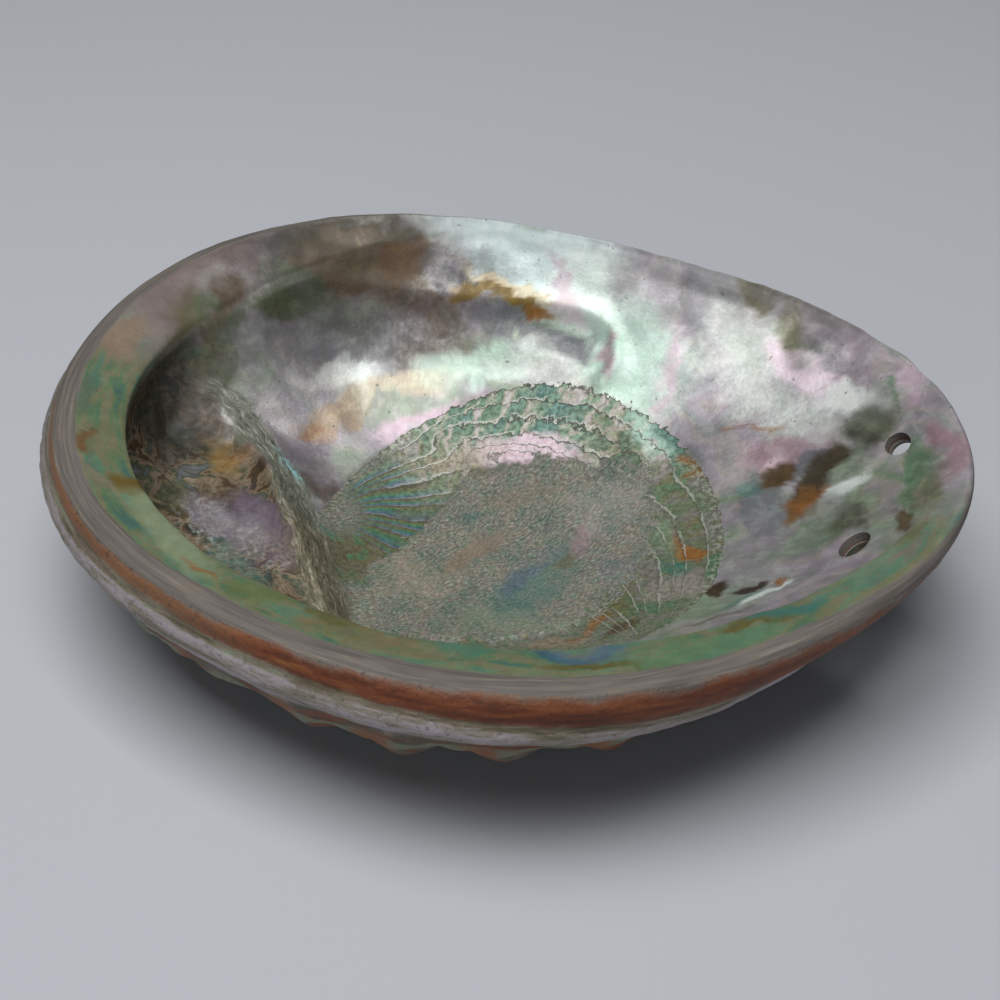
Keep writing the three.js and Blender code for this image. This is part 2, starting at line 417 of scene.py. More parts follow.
def swirl_relief(places):
    """Twisted callus in the deep end of the hollow."""
    dx, dy = places[:, 0] - SWIRL[0], places[:, 1] - SWIRL[1]
    reach = np.hypot(dx, dy)
    here = 1 - ramp(reach, 7, 13)
    turn = np.arctan2(dy, dx)
    twist = np.cos(2 * turn + 0.6 * reach + 1.6 * lumps(places, 4, 51))
    return here * (0.3 * twist * ramp(reach, 0.5, 3) + 0.2 * rough(places, 2, 53))


def lip_relief(places, angle, reach):
    """Gentle waves on the broad lip and a slightly chipped thin lip."""
    broad = ramp(around(LIP_WIDTH, angle), *BROAD_LIP)
    wave = 0.5 * lumps(places, 13, 61) + 0.16 * rough(places, 4.5, 63, 2)
    thin = 0.25 * rough(places, 5, 65) * bell(reach, 2.5)
    return blend(thin, wave, broad)


# Where the layers show round the side: for every 30 degrees, in mm outside the crest,
# the ends of the pearl, the grey layer, the red layer, a green one and a cream rib.
LAYER_ENDS = [
    [1.8, 1.4, 0.6, 0.3, 0.3, 0.3, -0.5, -0.6, -1.4, -2.2, -0.9, -0.2],
    [2.8, 2.0, 1.6, 1.5, 1.6, 2.8, 4.8, 3.8, 3.0, 1.6, 2.6, 3.5],
    [7.0, 6.5, 6.0, 5.5, 5.5, 5.5, 6.4, 5.9, 7.0, 6.8, 9.4, 10.5],
    [9.5, 9.0, 8.5, 8.0, 8.0, 8.0, 8.5, 8.6, 8.2, 7.6, 10.4, 12.0],
    [11.5, 11.0, 11.0, 10.5, 10.5, 11.0, 12.5, 14.0, 13.5, 12.5, 14.0, 14.5],
]
# A second rib round the side lies this far outside the crest.
SECOND_RIB = [19, 19, 19, 19, 19, 20, 24, 24, 22, 20, 19, 19]


def layer_place(angle, reach):
    """0 to 4 at the ends of the pearl, grey, red, green and cream layers."""
    ends = [around(row, angle) for row in LAYER_ENDS]
    place = (reach - ends[0]) / 4
    place = np.minimum(place, 0)
    for k in range(4):
        part = (reach - ends[k]) / (ends[k + 1] - ends[k])
        place += np.clip(part, 0, None if k == 3 else 1)
    return place


def about_apex(places):
    """Angle about the apex and distance from it, seen from above."""
    dx, dy = places[:, 0] - APEX[0], places[:, 1] - APEX[1]
    return np.arctan2(dy, dx), np.hypot(dx, dy)


def coil_place(places):
    """Angle along the spiral ribs, growth as a share of the way from the apex to the
    rim, and distance from the apex."""
    turn, gap = about_apex(places)
    gap = gap + NEVER_0
    rib = turn + RIB_LEAN * np.log(gap / 40)
    edge = np.interp(turn, *rim_about_apex())
    return rib, gap / edge, gap


def rim_about_apex():
    """The rim's distance from the apex by its angle there, over a full turn."""
    angle = np.arange(0, 360, 2.0)
    rim = surface(angle, np.full_like(angle, CREST_STEP))
    turn, gap = about_apex(rim)
    order = np.argsort(turn)
    turn, gap = turn[order], gap[order]
    around_turn = np.concatenate([turn - 2 * math.pi, turn, turn + 2 * math.pi])
    return around_turn, np.tile(gap, 3)


def outside_relief(places, angle, reach, layer):
    """Height of the rough outside's relief and how much of it is a rib's crest."""
    rib, growth, gap = coil_place(places)
    away = ramp(reach, 9, 22)
    warp = 0.05 * lumps(places, 30, 71)
    cords = 0.5 + 0.5 * np.cos(RIBS * (rib + warp))
    cord_height = away * ramp(gap, 8, 40) * 1.15 * cords**1.5
    lines = growth * GROWTH_LINES + 0.9 * lumps(places, 22, 73)
    growth_height = 0.35 * np.abs(np.sin(lines * math.pi)) ** 0.6 * away
    lumpy = 0.7 * rough(places, 11, 75) * ramp(reach, 12, 26)
    fine = 0.14 * rough(places, 2.6, 77) * ramp(reach, 2, 6)

    side = 1.1 * bell(layer - 3.5, 0.45) - 0.45 * bell(layer - 1.5, 0.4)
    second = bell(reach - around(SECOND_RIB, angle), 1.8)
    side += 0.9 * second
    near_side = ramp(around(SIDE_DEPTH, angle), 3.2, 6)
    height = cord_height * (1 - 0.6 * near_side) + growth_height + lumpy + fine + side * near_side
    return height, np.clip(cords * away + near_side * second, 0, 1)


def spire_relief(places):
    """The coil's small whorls on the outside."""
    turn, gap = about_apex(places)
    gap = gap + NEVER_0
    whorl = np.cos(turn + 2 * math.pi * np.log(gap / 20) / math.log(WHORL_GROWTH))
    return 1.6 * (0.5 + 0.5 * whorl) * (1 - ramp(gap, 16, 26)) * ramp(gap, 0.5, 4)


def knob_relief(places):
    """Height of the sealed older holes, low pointed knobs, and their rusty flanks."""
    height, flank = np.zeros(len(places)), np.zeros(len(places))
    for angle, tall in KNOBS:
        middle = surface(np.array([float(angle)]), np.array([float(KNOB_STEP)]))[0]
        gap = np.linalg.norm(places - middle, axis=1) / KNOB_RADIUS
        gap = gap * (1 + 0.12 * lumps(places, 5, 81))
        cone = np.interp(gap, *KNOB_PROFILE)
        height = np.maximum(height, tall * cone)
        turn = math.radians(angle)
        dx, dy = places[:, 0] - middle[0], places[:, 1] - middle[1]
        behind = dx * math.sin(turn) - dy * math.cos(turn)
        flank = np.maximum(flank, ramp(cone, 0, 0.3) * ramp(behind, 0, 3))
    return height, flank


# ---- colours, stains and painted light

def tone(red, green, blue):
    """A colour given as it looks on a screen, 0 to 255, as Blender's linear values."""
    return tuple(
        c / 12.92 if c <= 0.04045 else ((c + 0.055) / 1.055) ** 2.4
        for c in (red / 255, green / 255, blue / 255)
    ) + (1.0,)


CHALK = tone(222, 222, 216)
SILVER = tone(164, 162, 165)
MINT = tone(196, 226, 212)
FROST = tone(232, 240, 236)
LAVENDER = tone(152, 145, 154)
ROSE = tone(204, 180, 194)
PINK = tone(170, 138, 150)
SAGE = tone(130, 150, 124)
GREEN = tone(92, 128, 92)
TEAL = tone(62, 124, 116)
BLUE = tone(78, 98, 132)
VIOLET = tone(108, 94, 114)
OLIVE = tone(104, 98, 50)
MOSS = tone(70, 78, 52)
UMBER = tone(82, 62, 34)
DARK = tone(44, 42, 36)
GOLD = tone(168, 134, 66)
AMBER = tone(150, 98, 42)
BRICK = tone(122, 60, 28)
CREAM = tone(202, 188, 158)
TAN = tone(150, 132, 110)
SLATE = tone(108, 110, 116)
ASH = tone(138, 141, 134)

USUAL_SOFTNESS = 0.5

# Stains, painted highlights and painted shade on the bowl: x, y, half sizes, turn, colour,
# strength and, where it isn't the usual one, softness. Later ones lie over earlier ones.
BOWL_STAINS_AND_PAINTED_LIGHT = [
    (-40, 34, 22, 14, 25, SILVER, 0.5, 0.6),
    (-58, 44, 18, 12, 30, tone(80, 76, 72), 0.5, 0.6),
    (-30, 50, 16, 6, 12, tone(84, 74, 66), 0.55, 0.6),
    (-71, 47, 12, 6, 35, tone(90, 76, 72), 0.9, 0.6),
    (-68, 28, 2.4, 5, 0, AMBER, 0.55),
    (-65, 27, 4, 7, -20, tone(94, 100, 84), 0.75),
    (-61, 33, 2.4, 6, -15, SILVER, 0.6),
    (-57, 50, 7, 6.5, 0, tone(66, 66, 64), 0.95, 0.35),
    (-60, 42, 11, 4, 30, MOSS, 0.85),
    (-44, 54, 14, 4, 20, UMBER, 0.9, 0.45),
    (-44, 60, 19, 6.5, 15, tone(72, 58, 26), 0.95),
    (-50, 60, 7, 2, 25, TAN, 0.4),
    (-35, 59.5, 6, 4.5, 8, tone(84, 54, 10), 1.0, 0.35),
    (-30, 54, 9, 3.5, 8, UMBER, 0.6),
    (-50, 45, 12, 3, 18, MOSS, 0.6),
    (-43, 42, 14, 6, 20, tone(96, 96, 100), 0.6, 0.6),
    (-26, 45, 6, 4, 20, tone(100, 86, 76), 0.75, 0.6),
    # painted highlight: a bright silver sheen on the wall's left part
    (-41, 36, 6, 2.4, 25, FROST, 0.85, 0.6),
    (-47, 33, 5, 2.5, 30, CHALK, 0.5, 0.6),
    (-44, 27, 9, 2.2, 50, GOLD, 0.5),
    (-47, 21, 3, 2.2, 0, AMBER, 0.5),
    (-30, 39, 13, 1.6, 24, CREAM, 0.7),
    (-28, 36, 13, 2.4, 20, SAGE, 0.5),
    (-22, 33, 15, 3.4, 20, ROSE, 0.85),
    (-26, 29, 12, 2.2, 26, LAVENDER, 0.7),
    (-47, 14, 9, 5, -25, VIOLET, 0.55, 0.6),
    (-43, 9, 5, 3, -35, UMBER, 0.6),
    # pale pearl here and at (8, 60), partly a painted highlight of the far wall's lustre
    (-8, 66, 22, 6, -6, tone(216, 234, 234), 0.95),
    (8, 60, 13, 6, -12, FROST, 0.75, 0.6),
    (20, 59, 7, 5, -20, LAVENDER, 0.75, 0.6),
    # mint and frost pearl down to (0, 46), partly a painted highlight of the lustre
    (16, 49, 14, 8, -45, MINT, 0.7, 0.6),
    (26, 45, 8, 8, 0, MINT, 0.4, 0.7),
    (-14, 46, 12, 4, 8, MINT, 0.6, 0.6),
    (0, 46, 10, 4, 4, FROST, 0.4, 0.7),
    (-20, 62, 10, 3, 5, SLATE, 0.5),
    (-19, 59.6, 7, 1.4, 0, DARK, 0.6),
    (-10, 59.8, 12, 1, -2, CREAM, 0.8, 0.4),
    (-12, 57, 13, 2.4, -1, tone(124, 98, 26), 1.0, 0.25),
    (-2, 56.6, 3, 2, 0, AMBER, 0.8, 0.35),
    # painted shade under the ledge, here and at (7, 50)
    (-8, 52.8, 12, 2, -2, SLATE, 0.8),
    (7, 50, 6, 3, -6, SLATE, 0.9),
    (0, 61, 9, 1.6, -38, ROSE, 0.6),
    (16.2, 49, 1.6, 5, 0, PINK, 0.8),
    (34, 60, 6, 5, -20, SLATE, 0.75, 0.6),
    (41, 58, 10, 6, -20, SILVER, 0.7, 0.6),
    (44, 61, 4, 2.4, -20, OLIVE, 0.8),
    (29, 46, 1.8, 9, 4, ROSE, 0.7, 0.6),
    # pale frost pearl, partly a painted highlight
    (45, 47, 11, 7, -25, FROST, 0.5, 0.7),
    (53, 53, 3.4, 7, 12, OLIVE, 0.65),
    (63, 51, 10, 6, -38, tone(140, 128, 136), 0.9),
    (52, 59, 16, 3, -30, tone(112, 106, 106), 0.7, 0.6),
    (61, 46.5, 5, 3.4, -35, SLATE, 0.5, 0.8),
    (60, 41, 15, 2.6, -38, tone(228, 210, 222), 0.9),
    # pale frost pearl here and at (68, 35), partly painted highlights
    (56, 34, 12, 4.6, -25, FROST, 0.5, 0.6),
    (68, 35, 7, 3, -30, FROST, 0.85, 0.6),
    (49, 32.5, 6, 0.9, -8, AMBER, 0.6, 0.4),
    (75, 36.5, 0.9, 5, 10, GREEN, 0.8),
    (78, 38, 5, 3, -50, ROSE, 0.8),
    (72, 28, 6, 5, 20, MOSS, 0.9),
    (70, 24, 3, 4, 0, DARK, 0.6),
    (55, 26, 8, 3.4, -12, PINK, 0.7),
    (68, 17, 4, 7, 0, SAGE, 0.7, 0.6),
    (53.6, 11.5, 5, 8.5, 10, tone(130, 135, 138), 0.95, 0.2),
    (50, 20, 3, 3, 0, TEAL, 0.5),
    (55.5, 21.5, 3.2, 3.2, 0, UMBER, 1.0, 0.2),
    (60.5, 22.5, 3, 3.4, 0, SLATE, 0.95, 0.2),
    (62.5, 17, 3.8, 7.5, -25, tone(56, 46, 26), 1.0, 0.3),
    (59.5, 11.5, 2.6, 5, -20, tone(120, 80, 34), 0.9, 0.3),
    (63, 9.5, 3, 3.6, -30, AMBER, 0.8, 0.3),
    # painted glint
    (68.5, 11.5, 6, 1.9, 38, FROST, 1.0),
    (65, 7, 5, 3, 30, tone(136, 144, 136), 0.7, 0.6),
    (61, 0, 8, 5, 20, SAGE, 0.7, 0.6),
    (70.5, 2, 5, 5, 10, MOSS, 0.85),
    (80.5, -3, 1.8, 6, 8, UMBER, 0.9, 0.4),
    (82.5, 12, 2, 11, 5, GREEN, 0.75),
    (87.5, 16, 2.6, 9, 8, PINK, 0.9),
    (86, 4, 2.4, 6, 0, OLIVE, 0.5, 0.6),
    (52, 0, 6, 9, 0, LAVENDER, 0.5, 0.6),
    (48, -9, 3.4, 3.2, 20, tone(60, 46, 24), 1.0, 0.3),
    (54.5, -13, 2.2, 1.8, 0, tone(56, 42, 34), 1.0, 0.3),
    (60, -14.6, 1.4, 2, 0, AMBER, 0.9, 0.3),
    # painted glint
    (58.5, -17.5, 5, 1.5, 30, FROST, 1.0, 0.45),
    (53, -18, 5, 1.4, 25, TEAL, 0.7),
    (47, -18, 5, 5, 0, SAGE, 0.8, 0.6),
    (50, -25, 8, 1.4, 18, UMBER, 0.6),
]

SCAR_STAINS = [
    (2, 29, 13, 3.2, 0, ROSE, 0.9, 0.4),
    (-14, 26, 9, 3.4, 20, TAN, 0.5),
    (18, 31, 8, 3.4, 0, OLIVE, 0.45),
    (28, 34, 6, 3, -20, MINT, 0.5),
    (40, 27, 5, 3.4, -40, AMBER, 0.75, 0.4),
    (39.5, 4, 2.6, 5, 10, AMBER, 0.95, 0.3),
    (36, 8, 3, 4, 20, SAGE, 0.8, 0.4),
    (38, -1, 2.4, 4, 20, TEAL, 0.5),
    (25, -19, 1.6, 4, -20, AMBER, 0.8, 0.4),
    (31, -23, 1.4, 4, -20, UMBER, 0.8, 0.4),
    (28, -12, 3.4, 6, 10, OLIVE, 0.6),
    (20, -24, 6, 3, -10, TAN, 0.8, 0.4),
    (40, -9, 4, 5, 0, tone(156, 146, 140), 0.75),
]

GRAIN_STAINS = [
    (-4, 1.5, 7, 3.4, 35, TAN, 0.9, 0.4),
    (-4.4, 11.8, 2.4, 2, 20, TEAL, 0.7),
    (10, -6, 6, 12, -20, TEAL, 0.75),
    (8, -3, 3, 7, -20, BLUE, 0.6, 0.6),
    (19, 7.8, 5, 3, 45, PINK, 0.7),
    (15, 2, 3, 2, 30, OLIVE, 0.7),
    (2, 18, 8, 3, 20, TAN, 0.6, 0.6),
    (26, -2, 5, 5, 0, BLUE, 0.35, 0.6),
    (8, -19, 12, 5, 0, SAGE, 0.6, 0.6),
    (-14, -8, 8, 6, 0, CREAM, 0.35, 0.6),
    (22, 17, 8, 6, 0, tone(206, 208, 202), 0.3, 0.7),
]

HOLLOW_STAINS_AND_PAINTED_LIGHT = [
    # painted shade in the deep upper end of the hollow
    (-72, 10, 7, 12, 0, DARK, 0.85),
    (-63, 20, 8, 4, 0, MOSS, 0.7, 0.6),
    (-64, 12, 3, 6, 20, UMBER, 0.8),
    (-60, 5, 7, 3, -30, GOLD, 0.55),
    (-57, 8, 3, 3, 0, AMBER, 0.5),
    # painted glint
    (-60.5, 15, 2, 1.6, -40, FROST, 0.7),
    (-54, -5, 7, 2.4, 0, UMBER, 0.7),
    (-66, -9, 5, 6, 0, MOSS, 0.8),
    (-47, -9, 8, 4, -45, VIOLET, 0.8),
    (-53, -13, 9, 4.6, -30, LAVENDER, 0.75),
    (-40, -16, 5, 6, -40, VIOLET, 0.5, 0.6),
    (-47, -23, 10, 3, -30, TEAL, 0.4, 0.6),
]

LIP_STAINS = [
    (-74, 45, 16, 6, 38, tone(118, 99, 98), 0.8, 0.6),
    (-81, 30, 6, 16, 12, tone(134, 118, 118), 0.9, 0.6),
    (-68.5, 34, 3, 6.5, -20, UMBER, 0.85, 0.45),
    (-75, 24, 4.5, 8, 10, tone(94, 92, 54), 0.75, 0.6),
    (-73, 29, 3, 4, 0, tone(84, 104, 72), 0.6, 0.6),
    (-83, 10, 5, 7, 0, tone(150, 130, 112), 0.9),
    (-82, -8, 3, 7, 5, tone(84, 112, 94), 0.7),
    (-73.5, -22, 2, 1.6, 0, tone(118, 84, 50), 0.9),
    (-65, -29.5, 5.5, 3, -60, tone(112, 94, 38), 1.0, 0.35),
    (-71, -29, 6, 1.8, -42, tone(140, 128, 112), 0.7),
    (-52, -41, 15, 4, -38, tone(150, 164, 132), 0.8, 0.6),
    (-43, -48.5, 5, 1.1, -36, tone(150, 108, 62), 0.8),
    (-30, -53, 6, 2.4, -18, tone(108, 124, 76), 0.7),
    (-16, -55, 8, 1.8, -6, OLIVE, 0.8),
    (-8, -58.5, 14, 1.2, -5, tone(134, 116, 78), 0.5),
    (12, -54, 22, 3, -2, tone(78, 126, 104), 0.75, 0.6),
    (24, -54.5, 7, 1.6, 2, tone(48, 92, 104), 0.8),
    (30, -53, 6, 2, 4, tone(80, 104, 138), 0.6, 0.8),
    (33, -57, 9, 1.4, 8, OLIVE, 1.0, 0.35),
    (50, -49, 14, 4, 28, tone(96, 134, 98), 0.7, 0.6),
    (57, -39, 8, 2.2, 30, OLIVE, 0.95, 0.35),
    (62, -34, 8, 2, 32, TEAL, 0.8),
    (74, -20, 9, 5, 45, SAGE, 0.7, 0.6),
    (82, -8, 5, 5, 60, OLIVE, 0.5, 0.6),
]


def swirled(places, size, by, seed):
    """Places pushed about in plan by up to a distance, in swirls of a size."""
    push = [by * rough(places, size, seed + 5 * axis, 2) for axis in range(2)]
    return places + np.stack([*push, np.zeros(len(places))], axis=1)


def stain_and_painted_light_tint(places, rows, seed):
    """The mixed colour at each place of the stains and of the painted highlights and shade among
    them, and the share that they cover.
    """
    spots = swirled(swirled(places, 9, 3.0, seed), 2.6, 1.3, seed + 2)
    colour = np.zeros((len(places), 3))
    clear = np.ones(len(places))
    for x, y, half_x, half_y, turn, mark_colour, strength, *own in rows:
        soft = own[0] if own else USUAL_SOFTNESS
        gap = oval_distance(spots, x, y, half_x, half_y, turn)
        share = strength * (1 - ramp(gap, 1 - 0.8 * soft, 1 + 0.8 * soft))
        colour = blend(colour, np.array(mark_colour[:3]), share[:, None])
        clear = clear * (1 - share)
    return np.concatenate([colour, 1 - clear[:, None]], axis=1)


# ---- the shell's mesh

SEGMENTS = 480
SEAM_ANGLE = 90             # where the sheet's two edges meet, away from the holes
# Rows of vertices over parts of a section: (last step, rows up to it).
ROWS = [(0, 0), (7, 48), (9.5, 64), (14.6, 100), (LAST_STEP, 205)]
EVENING_PASSES = 60         # times that the rows' spacing is averaged with its neighbours
HOLE_CELLS = 3              # half the width, in cells, of the square cut for a hole
HOLE_DEEPEST = 16           # mm through the wall at most, from the inside
HOLE_REACH = 11             # cells around a hole that are drawn round it
COAT_STARTS = 0.95          # the layer place where the outer coat's material takes over
REACH_CELLS = 250           # cells of the table of distances along each section
REACH_TURN = 3.0            # degrees between the table's sections
GIRDLE = 80                 # radius in mm of the circle that streaks round the shell follow
EDGE_LAYERS = (-2.0, -0.6)  # the layer places between which pearl dulls towards the rim
COATED = 8                  # a number past every mix of the pearl's three parts
PART_MARGIN = 0.2           # how far each part's material goes past what shows on it


def row_steps():
    """The step of each row of vertices, evened out where the spacing changes."""
    steps, rows = zip(*ROWS)
    row = np.arange(rows[-1] + 1, dtype=float)
    even = np.interp(row, rows, steps)
    for _ in range(EVENING_PASSES):
        even[1:-1] = (even[:-2] + 2 * even[1:-1] + even[2:]) / 4
    return even


def hole_frame(hole):
    """Middle, direction through the wall, and the along and across directions."""
    angle, step = np.array([hole["angle"]]), np.array([hole["step"]])
    middle = surface(angle, step)[0]
    axis = surface_normal(angle, step)[0]
    along = (surface(angle + 1, step) - surface(angle, step))[0]
    along -= axis * (along @ axis)
    along /= np.linalg.norm(along)
    return middle, axis, along, np.cross(axis, along)


def draw_round_hole(angle, step, row, segment, hole, outside):
    """Moves the rows and columns near a hole so that a ring of vertices lies on it."""
    middle, axis, along, across = hole_frame(hole)
    places = surface(angle, step)
    offset = places - middle
    depth = offset @ axis
    flat = np.stack([offset @ along, offset @ across], axis=1)
    side = (depth < -1) & (depth > -25) if outside else np.abs(depth) < 6
    side &= (step < 10) if outside else (step > 14)
    gap = np.where(side, np.linalg.norm(flat, axis=1), 1e9)
    centre = int(np.argmin(gap))
    a0, s0 = angle[centre : centre + 1], step[centre : centre + 1]

    def seen(a, s):
        moved = surface(a, s) - middle
        return np.stack([moved @ along, moved @ across], axis=1)

    small = 1e-3
    here = seen(a0, s0)[0]
    slope = np.stack([(seen(a0 + small, s0)[0] - here) / small,
                      (seen(a0, s0 + small)[0] - here) / small], axis=1)
    i = (segment - segment[centre] + SEGMENTS // 2) % SEGMENTS - SEGMENTS // 2
    j = row - row[centre]
    ring = np.maximum(np.abs(i), np.abs(j))
    near = (ring > 0) & (ring <= HOLE_REACH)

    # the place of a vertex on its square ring, as an angle round the hole
    m = np.maximum(ring, 1)
    turn = np.where(
        i == m, j / m, np.where(j == m, 2 - i / m, np.where(i == -m, 4 - j / m, 6 + i / m))
    ) * math.pi / 4
    onward = slope[:, 0] / np.linalg.norm(slope[:, 0])
    normal = np.array([-onward[1], onward[0]])
    normal *= np.sign(normal @ slope[:, 1])
    share = m / HOLE_CELLS
    oval = (np.cos(turn) * hole["along"] * share)[:, None] * onward
    oval = oval + (np.sin(turn) * hole["across"] * share)[:, None] * normal
    current = here + np.stack([(angle - a0 + 180) % 360 - 180, step - s0], axis=1) @ slope.T
    target = blend(oval, current, ramp(ring, HOLE_CELLS, HOLE_REACH)[:, None])
    change = np.linalg.solve(slope, (target - here).T).T
    angle = np.where(near, a0 + change[:, 0], angle)
    step = np.where(near, s0 + change[:, 1], step)
    step = np.where(ring == 0, s0, step)
    return angle, step, ring <= HOLE_CELLS


def lay_out_sheet():
    """A flat sheet of cells, and the angle and step that each vertex is drawn out to."""
    bpy.ops.object.select_all(action="DESELECT")
    rows = ROWS[-1][1]
    bpy.ops.mesh.primitive_grid_add(
        x_subdivisions=SEGMENTS, y_subdivisions=rows, size=2, calc_uvs=False)
    sheet = bpy.context.object
    flat = np.empty(len(sheet.data.vertices) * 3)
    sheet.data.vertices.foreach_get("co", flat)
    flat = (flat.reshape(-1, 3) + 1) / 2
    row = np.rint(flat[:, 1] * rows).astype(int)
    segment = np.rint(flat[:, 0] * SEGMENTS).astype(int) % SEGMENTS
    angle = (SEAM_ANGLE + segment * 360.0 / SEGMENTS) % 360
    step = row_steps()[row]
    cut = np.zeros((2 * len(HOLES), len(step)), bool)
    for k, hole in enumerate(HOLES):
        for n, outside in enumerate((False, True)):
            angle, step, cut[2 * k + n] = draw_round_hole(
                angle, step, row, segment, hole, outside)
    return sheet, angle, step, cut


def model_shell():
    """The sheet rolled and drawn out into the shell, with its relief, marks and holes."""
    shell, angle, step, cut = lay_out_sheet()
    shell.name = "pearly_shell"
    mesh = shell.data
    places = surface(angle, step)
    reach = rim_reach(angle, step)
    layer = layer_place(angle, reach)
    bands = scar_bands(places)
    grain = outline_depth(places, GRAIN)
    ridge = ridge_place(places)
    inner = bowl_relief(places, bands, grain, ridge)
    knobs, flank = knob_relief(places)
    height, crests = shell_relief(places, angle, step, reach, layer, inner, knobs)
    normal = surface_normal(angle, np.clip(step, 0.05, LAST_STEP - 0.05))
    solid = places + normal * height[:, None]
    solid[:, 2] = np.maximum(solid[:, 2], 0)
    mesh.vertices.foreach_set("co", (solid * MM).ravel())
    mesh.update()

    turn = np.radians(angle)
    lip = lip_share(angle, step)
    hollow = hollow_share(angle, step)
    keep(mesh, "girdle", GIRDLE * np.cos(turn), GIRDLE * np.sin(turn), reach)
    keep(mesh, "ridge", *ridge)
    for name, values in (
        ("bands", bands), ("grain", grain), ("layer", layer), ("crests", crests),
        ("flank", flank), ("growth", coil_place(places)[1]), ("lip", lip), ("hollow", hollow),
    ):
        keep(mesh, name, values)
    keep_stains_and_painted_light(mesh, places, lip, hollow)

    corners = np.empty(4 * len(mesh.polygons), int)
    mesh.loops.foreach_get("vertex_index", corners)
    corners = corners.reshape(-1, 4)
    parts = [
        (lip > 0) | (layer > EDGE_LAYERS[0] - PART_MARGIN),
        hollow > 0,
        (step > LIP_STEP) & ((bands > -1 - PART_MARGIN) | (ridge[2] < 2)),
    ]
    dress(mesh, [part[corners].any(axis=1) for part in parts],
          layer[corners].min(axis=1) > COAT_STARTS)
    open_holes(shell, cut[:, corners].all(axis=2).any(axis=0))
    return shell


def keep_stains_and_painted_light(mesh, places, lip, hollow):
    # the tints hold painted highlights and painted shade along with the stains
    tint = blend(stain_and_painted_light_tint(places, BOWL_STAINS_AND_PAINTED_LIGHT, 91), stain_and_painted_light_tint(places, HOLLOW_STAINS_AND_PAINTED_LIGHT, 93),
                 hollow[:, None])
    tint = blend(tint, stain_and_painted_light_tint(places, LIP_STAINS, 95), lip[:, None])
    keep_tint(mesh, "tint", tint)
    keep_tint(mesh, "scar_tint", stain_and_painted_light_tint(places, SCAR_STAINS, 97))
    keep_tint(mesh, "grain_tint", stain_and_painted_light_tint(places, GRAIN_STAINS, 99))


def dress(mesh, parts, coated):
    """Gives each face the outer coat, or pearl with only what shows on its part."""
    key = np.where(coated, COATED, sum(part.astype(int) << k for k, part in enumerate(parts)))
    kinds, index = np.unique(key, return_inverse=True)
    for kind in kinds:
        shows = [bool(kind >> k & 1) for k in range(3)]
        names = ["pearl"] + [n for n, on in zip(("lip", "hollow", "scar"), shows) if on]
        mesh.materials.append(
            outer_coat() if kind == COATED else pearl("_".join(names), *shows))
    mesh.polygons.foreach_set("material_index", index.astype(int))


def rim_reach(angle, step):
    """Distance in mm along the section outside the crest, or, below 0, inside it."""
    steps = np.linspace(0, LAST_STEP, REACH_CELLS + 1)
    turns = np.arange(0, 360, REACH_TURN)
    table = np.empty((len(turns), len(steps)))
    for k, turn in enumerate(turns):
        line = surface(np.full_like(steps, turn), steps)
        run = np.concatenate([[0], np.cumsum(np.linalg.norm(np.diff(line, axis=0), axis=1))])
        table[k] = np.interp(CREST_STEP, steps, run) - run
    row_place = np.mod(angle, 360) / REACH_TURN
    row = np.floor(row_place).astype(int)
    part = row_place - row
    column_place = np.clip(step / LAST_STEP * REACH_CELLS, 0, REACH_CELLS - 0.001)
    column = column_place.astype(int)
    rest = column_place - column
    total = 0
    for k, weight in ((row % len(turns), 1 - part), ((row + 1) % len(turns), part)):
        total = total + weight * (table[k, column] * (1 - rest) + table[k, column + 1] * rest)
    return total


def lip_share(angle, step):
    """1 on the broad lip, 0 where the lip is thin and inside its inner edge."""
    broad = ramp(around(LIP_WIDTH, angle), *BROAD_LIP)
    broad *= np.where(angle < 180, ramp(angle, *LIP_BROADENS), 1)
    return broad * ramp(LIP_STEP + 0.9 - step, 0, 0.9)


def hollow_share(angle, step):
    """1 in the hollow of the coil, from under the lip to the ridge."""
    within = ramp(step, LIP_STEP, LIP_STEP + 1)
    return hollow_opening(angle) * within * (1 - ramp(step, *HOLLOW_ENDS))


def shell_relief(places, angle, step, reach, layer, inner, knobs):
    inside = ramp(step, LIP_STEP, LIP_STEP + 1)
    outside = 1 - ramp(step, 9.6, 10.8)
    lip = (1 - inside) * (1 - outside)
    outer, crests = outside_relief(places, angle, reach, layer)
    outer = np.maximum(outer + spire_relief(places), knobs)
    height = inside * inner + outside * outer
    height += lip * lip_relief(places, angle, reach)
    for hole in HOLES:
        middle, axis, along, across = hole_frame(hole)
        offset = places - middle
        flat = np.hypot(offset @ along / hole["along"], offset @ across / hole["across"])
        flat = np.where(np.abs(offset @ axis) < 14, flat, 9)
        height = height * ramp(flat, 0.9, 2.2) - 0.5 * (1 - ramp(flat, 0.9, 1.5))
    return height, crests


KEPT_KINDS = {1: ("FLOAT", "value"), 3: ("FLOAT_VECTOR", "vector"), 4: ("FLOAT_COLOR", "color")}


def keep(mesh, name, *columns):
    """Keeps a number, a vector or a colour with each vertex, as an attribute."""
    kind, slot = KEPT_KINDS[len(columns)]
    values = np.stack(columns, axis=1).astype(np.float32)
    mesh.attributes.new(name, kind, "POINT").data.foreach_set(slot, values.ravel())


def keep_tint(mesh, name, tint):
    """Keeps colours with their cover: the colour itself, and its share as alpha."""
    colour = tint[:, :3] / np.maximum(tint[:, 3:], 1e-4)
    keep(mesh, name, *colour.T, tint[:, 3])


def select_faces(mesh, chosen):
    """Selects faces, given one mark a face, and nothing else."""
    mesh.vertices.foreach_set("select", np.zeros(len(mesh.vertices), bool))
    mesh.edges.foreach_set("select", np.zeros(len(mesh.edges), bool))
    mesh.polygons.foreach_set("select", chosen)


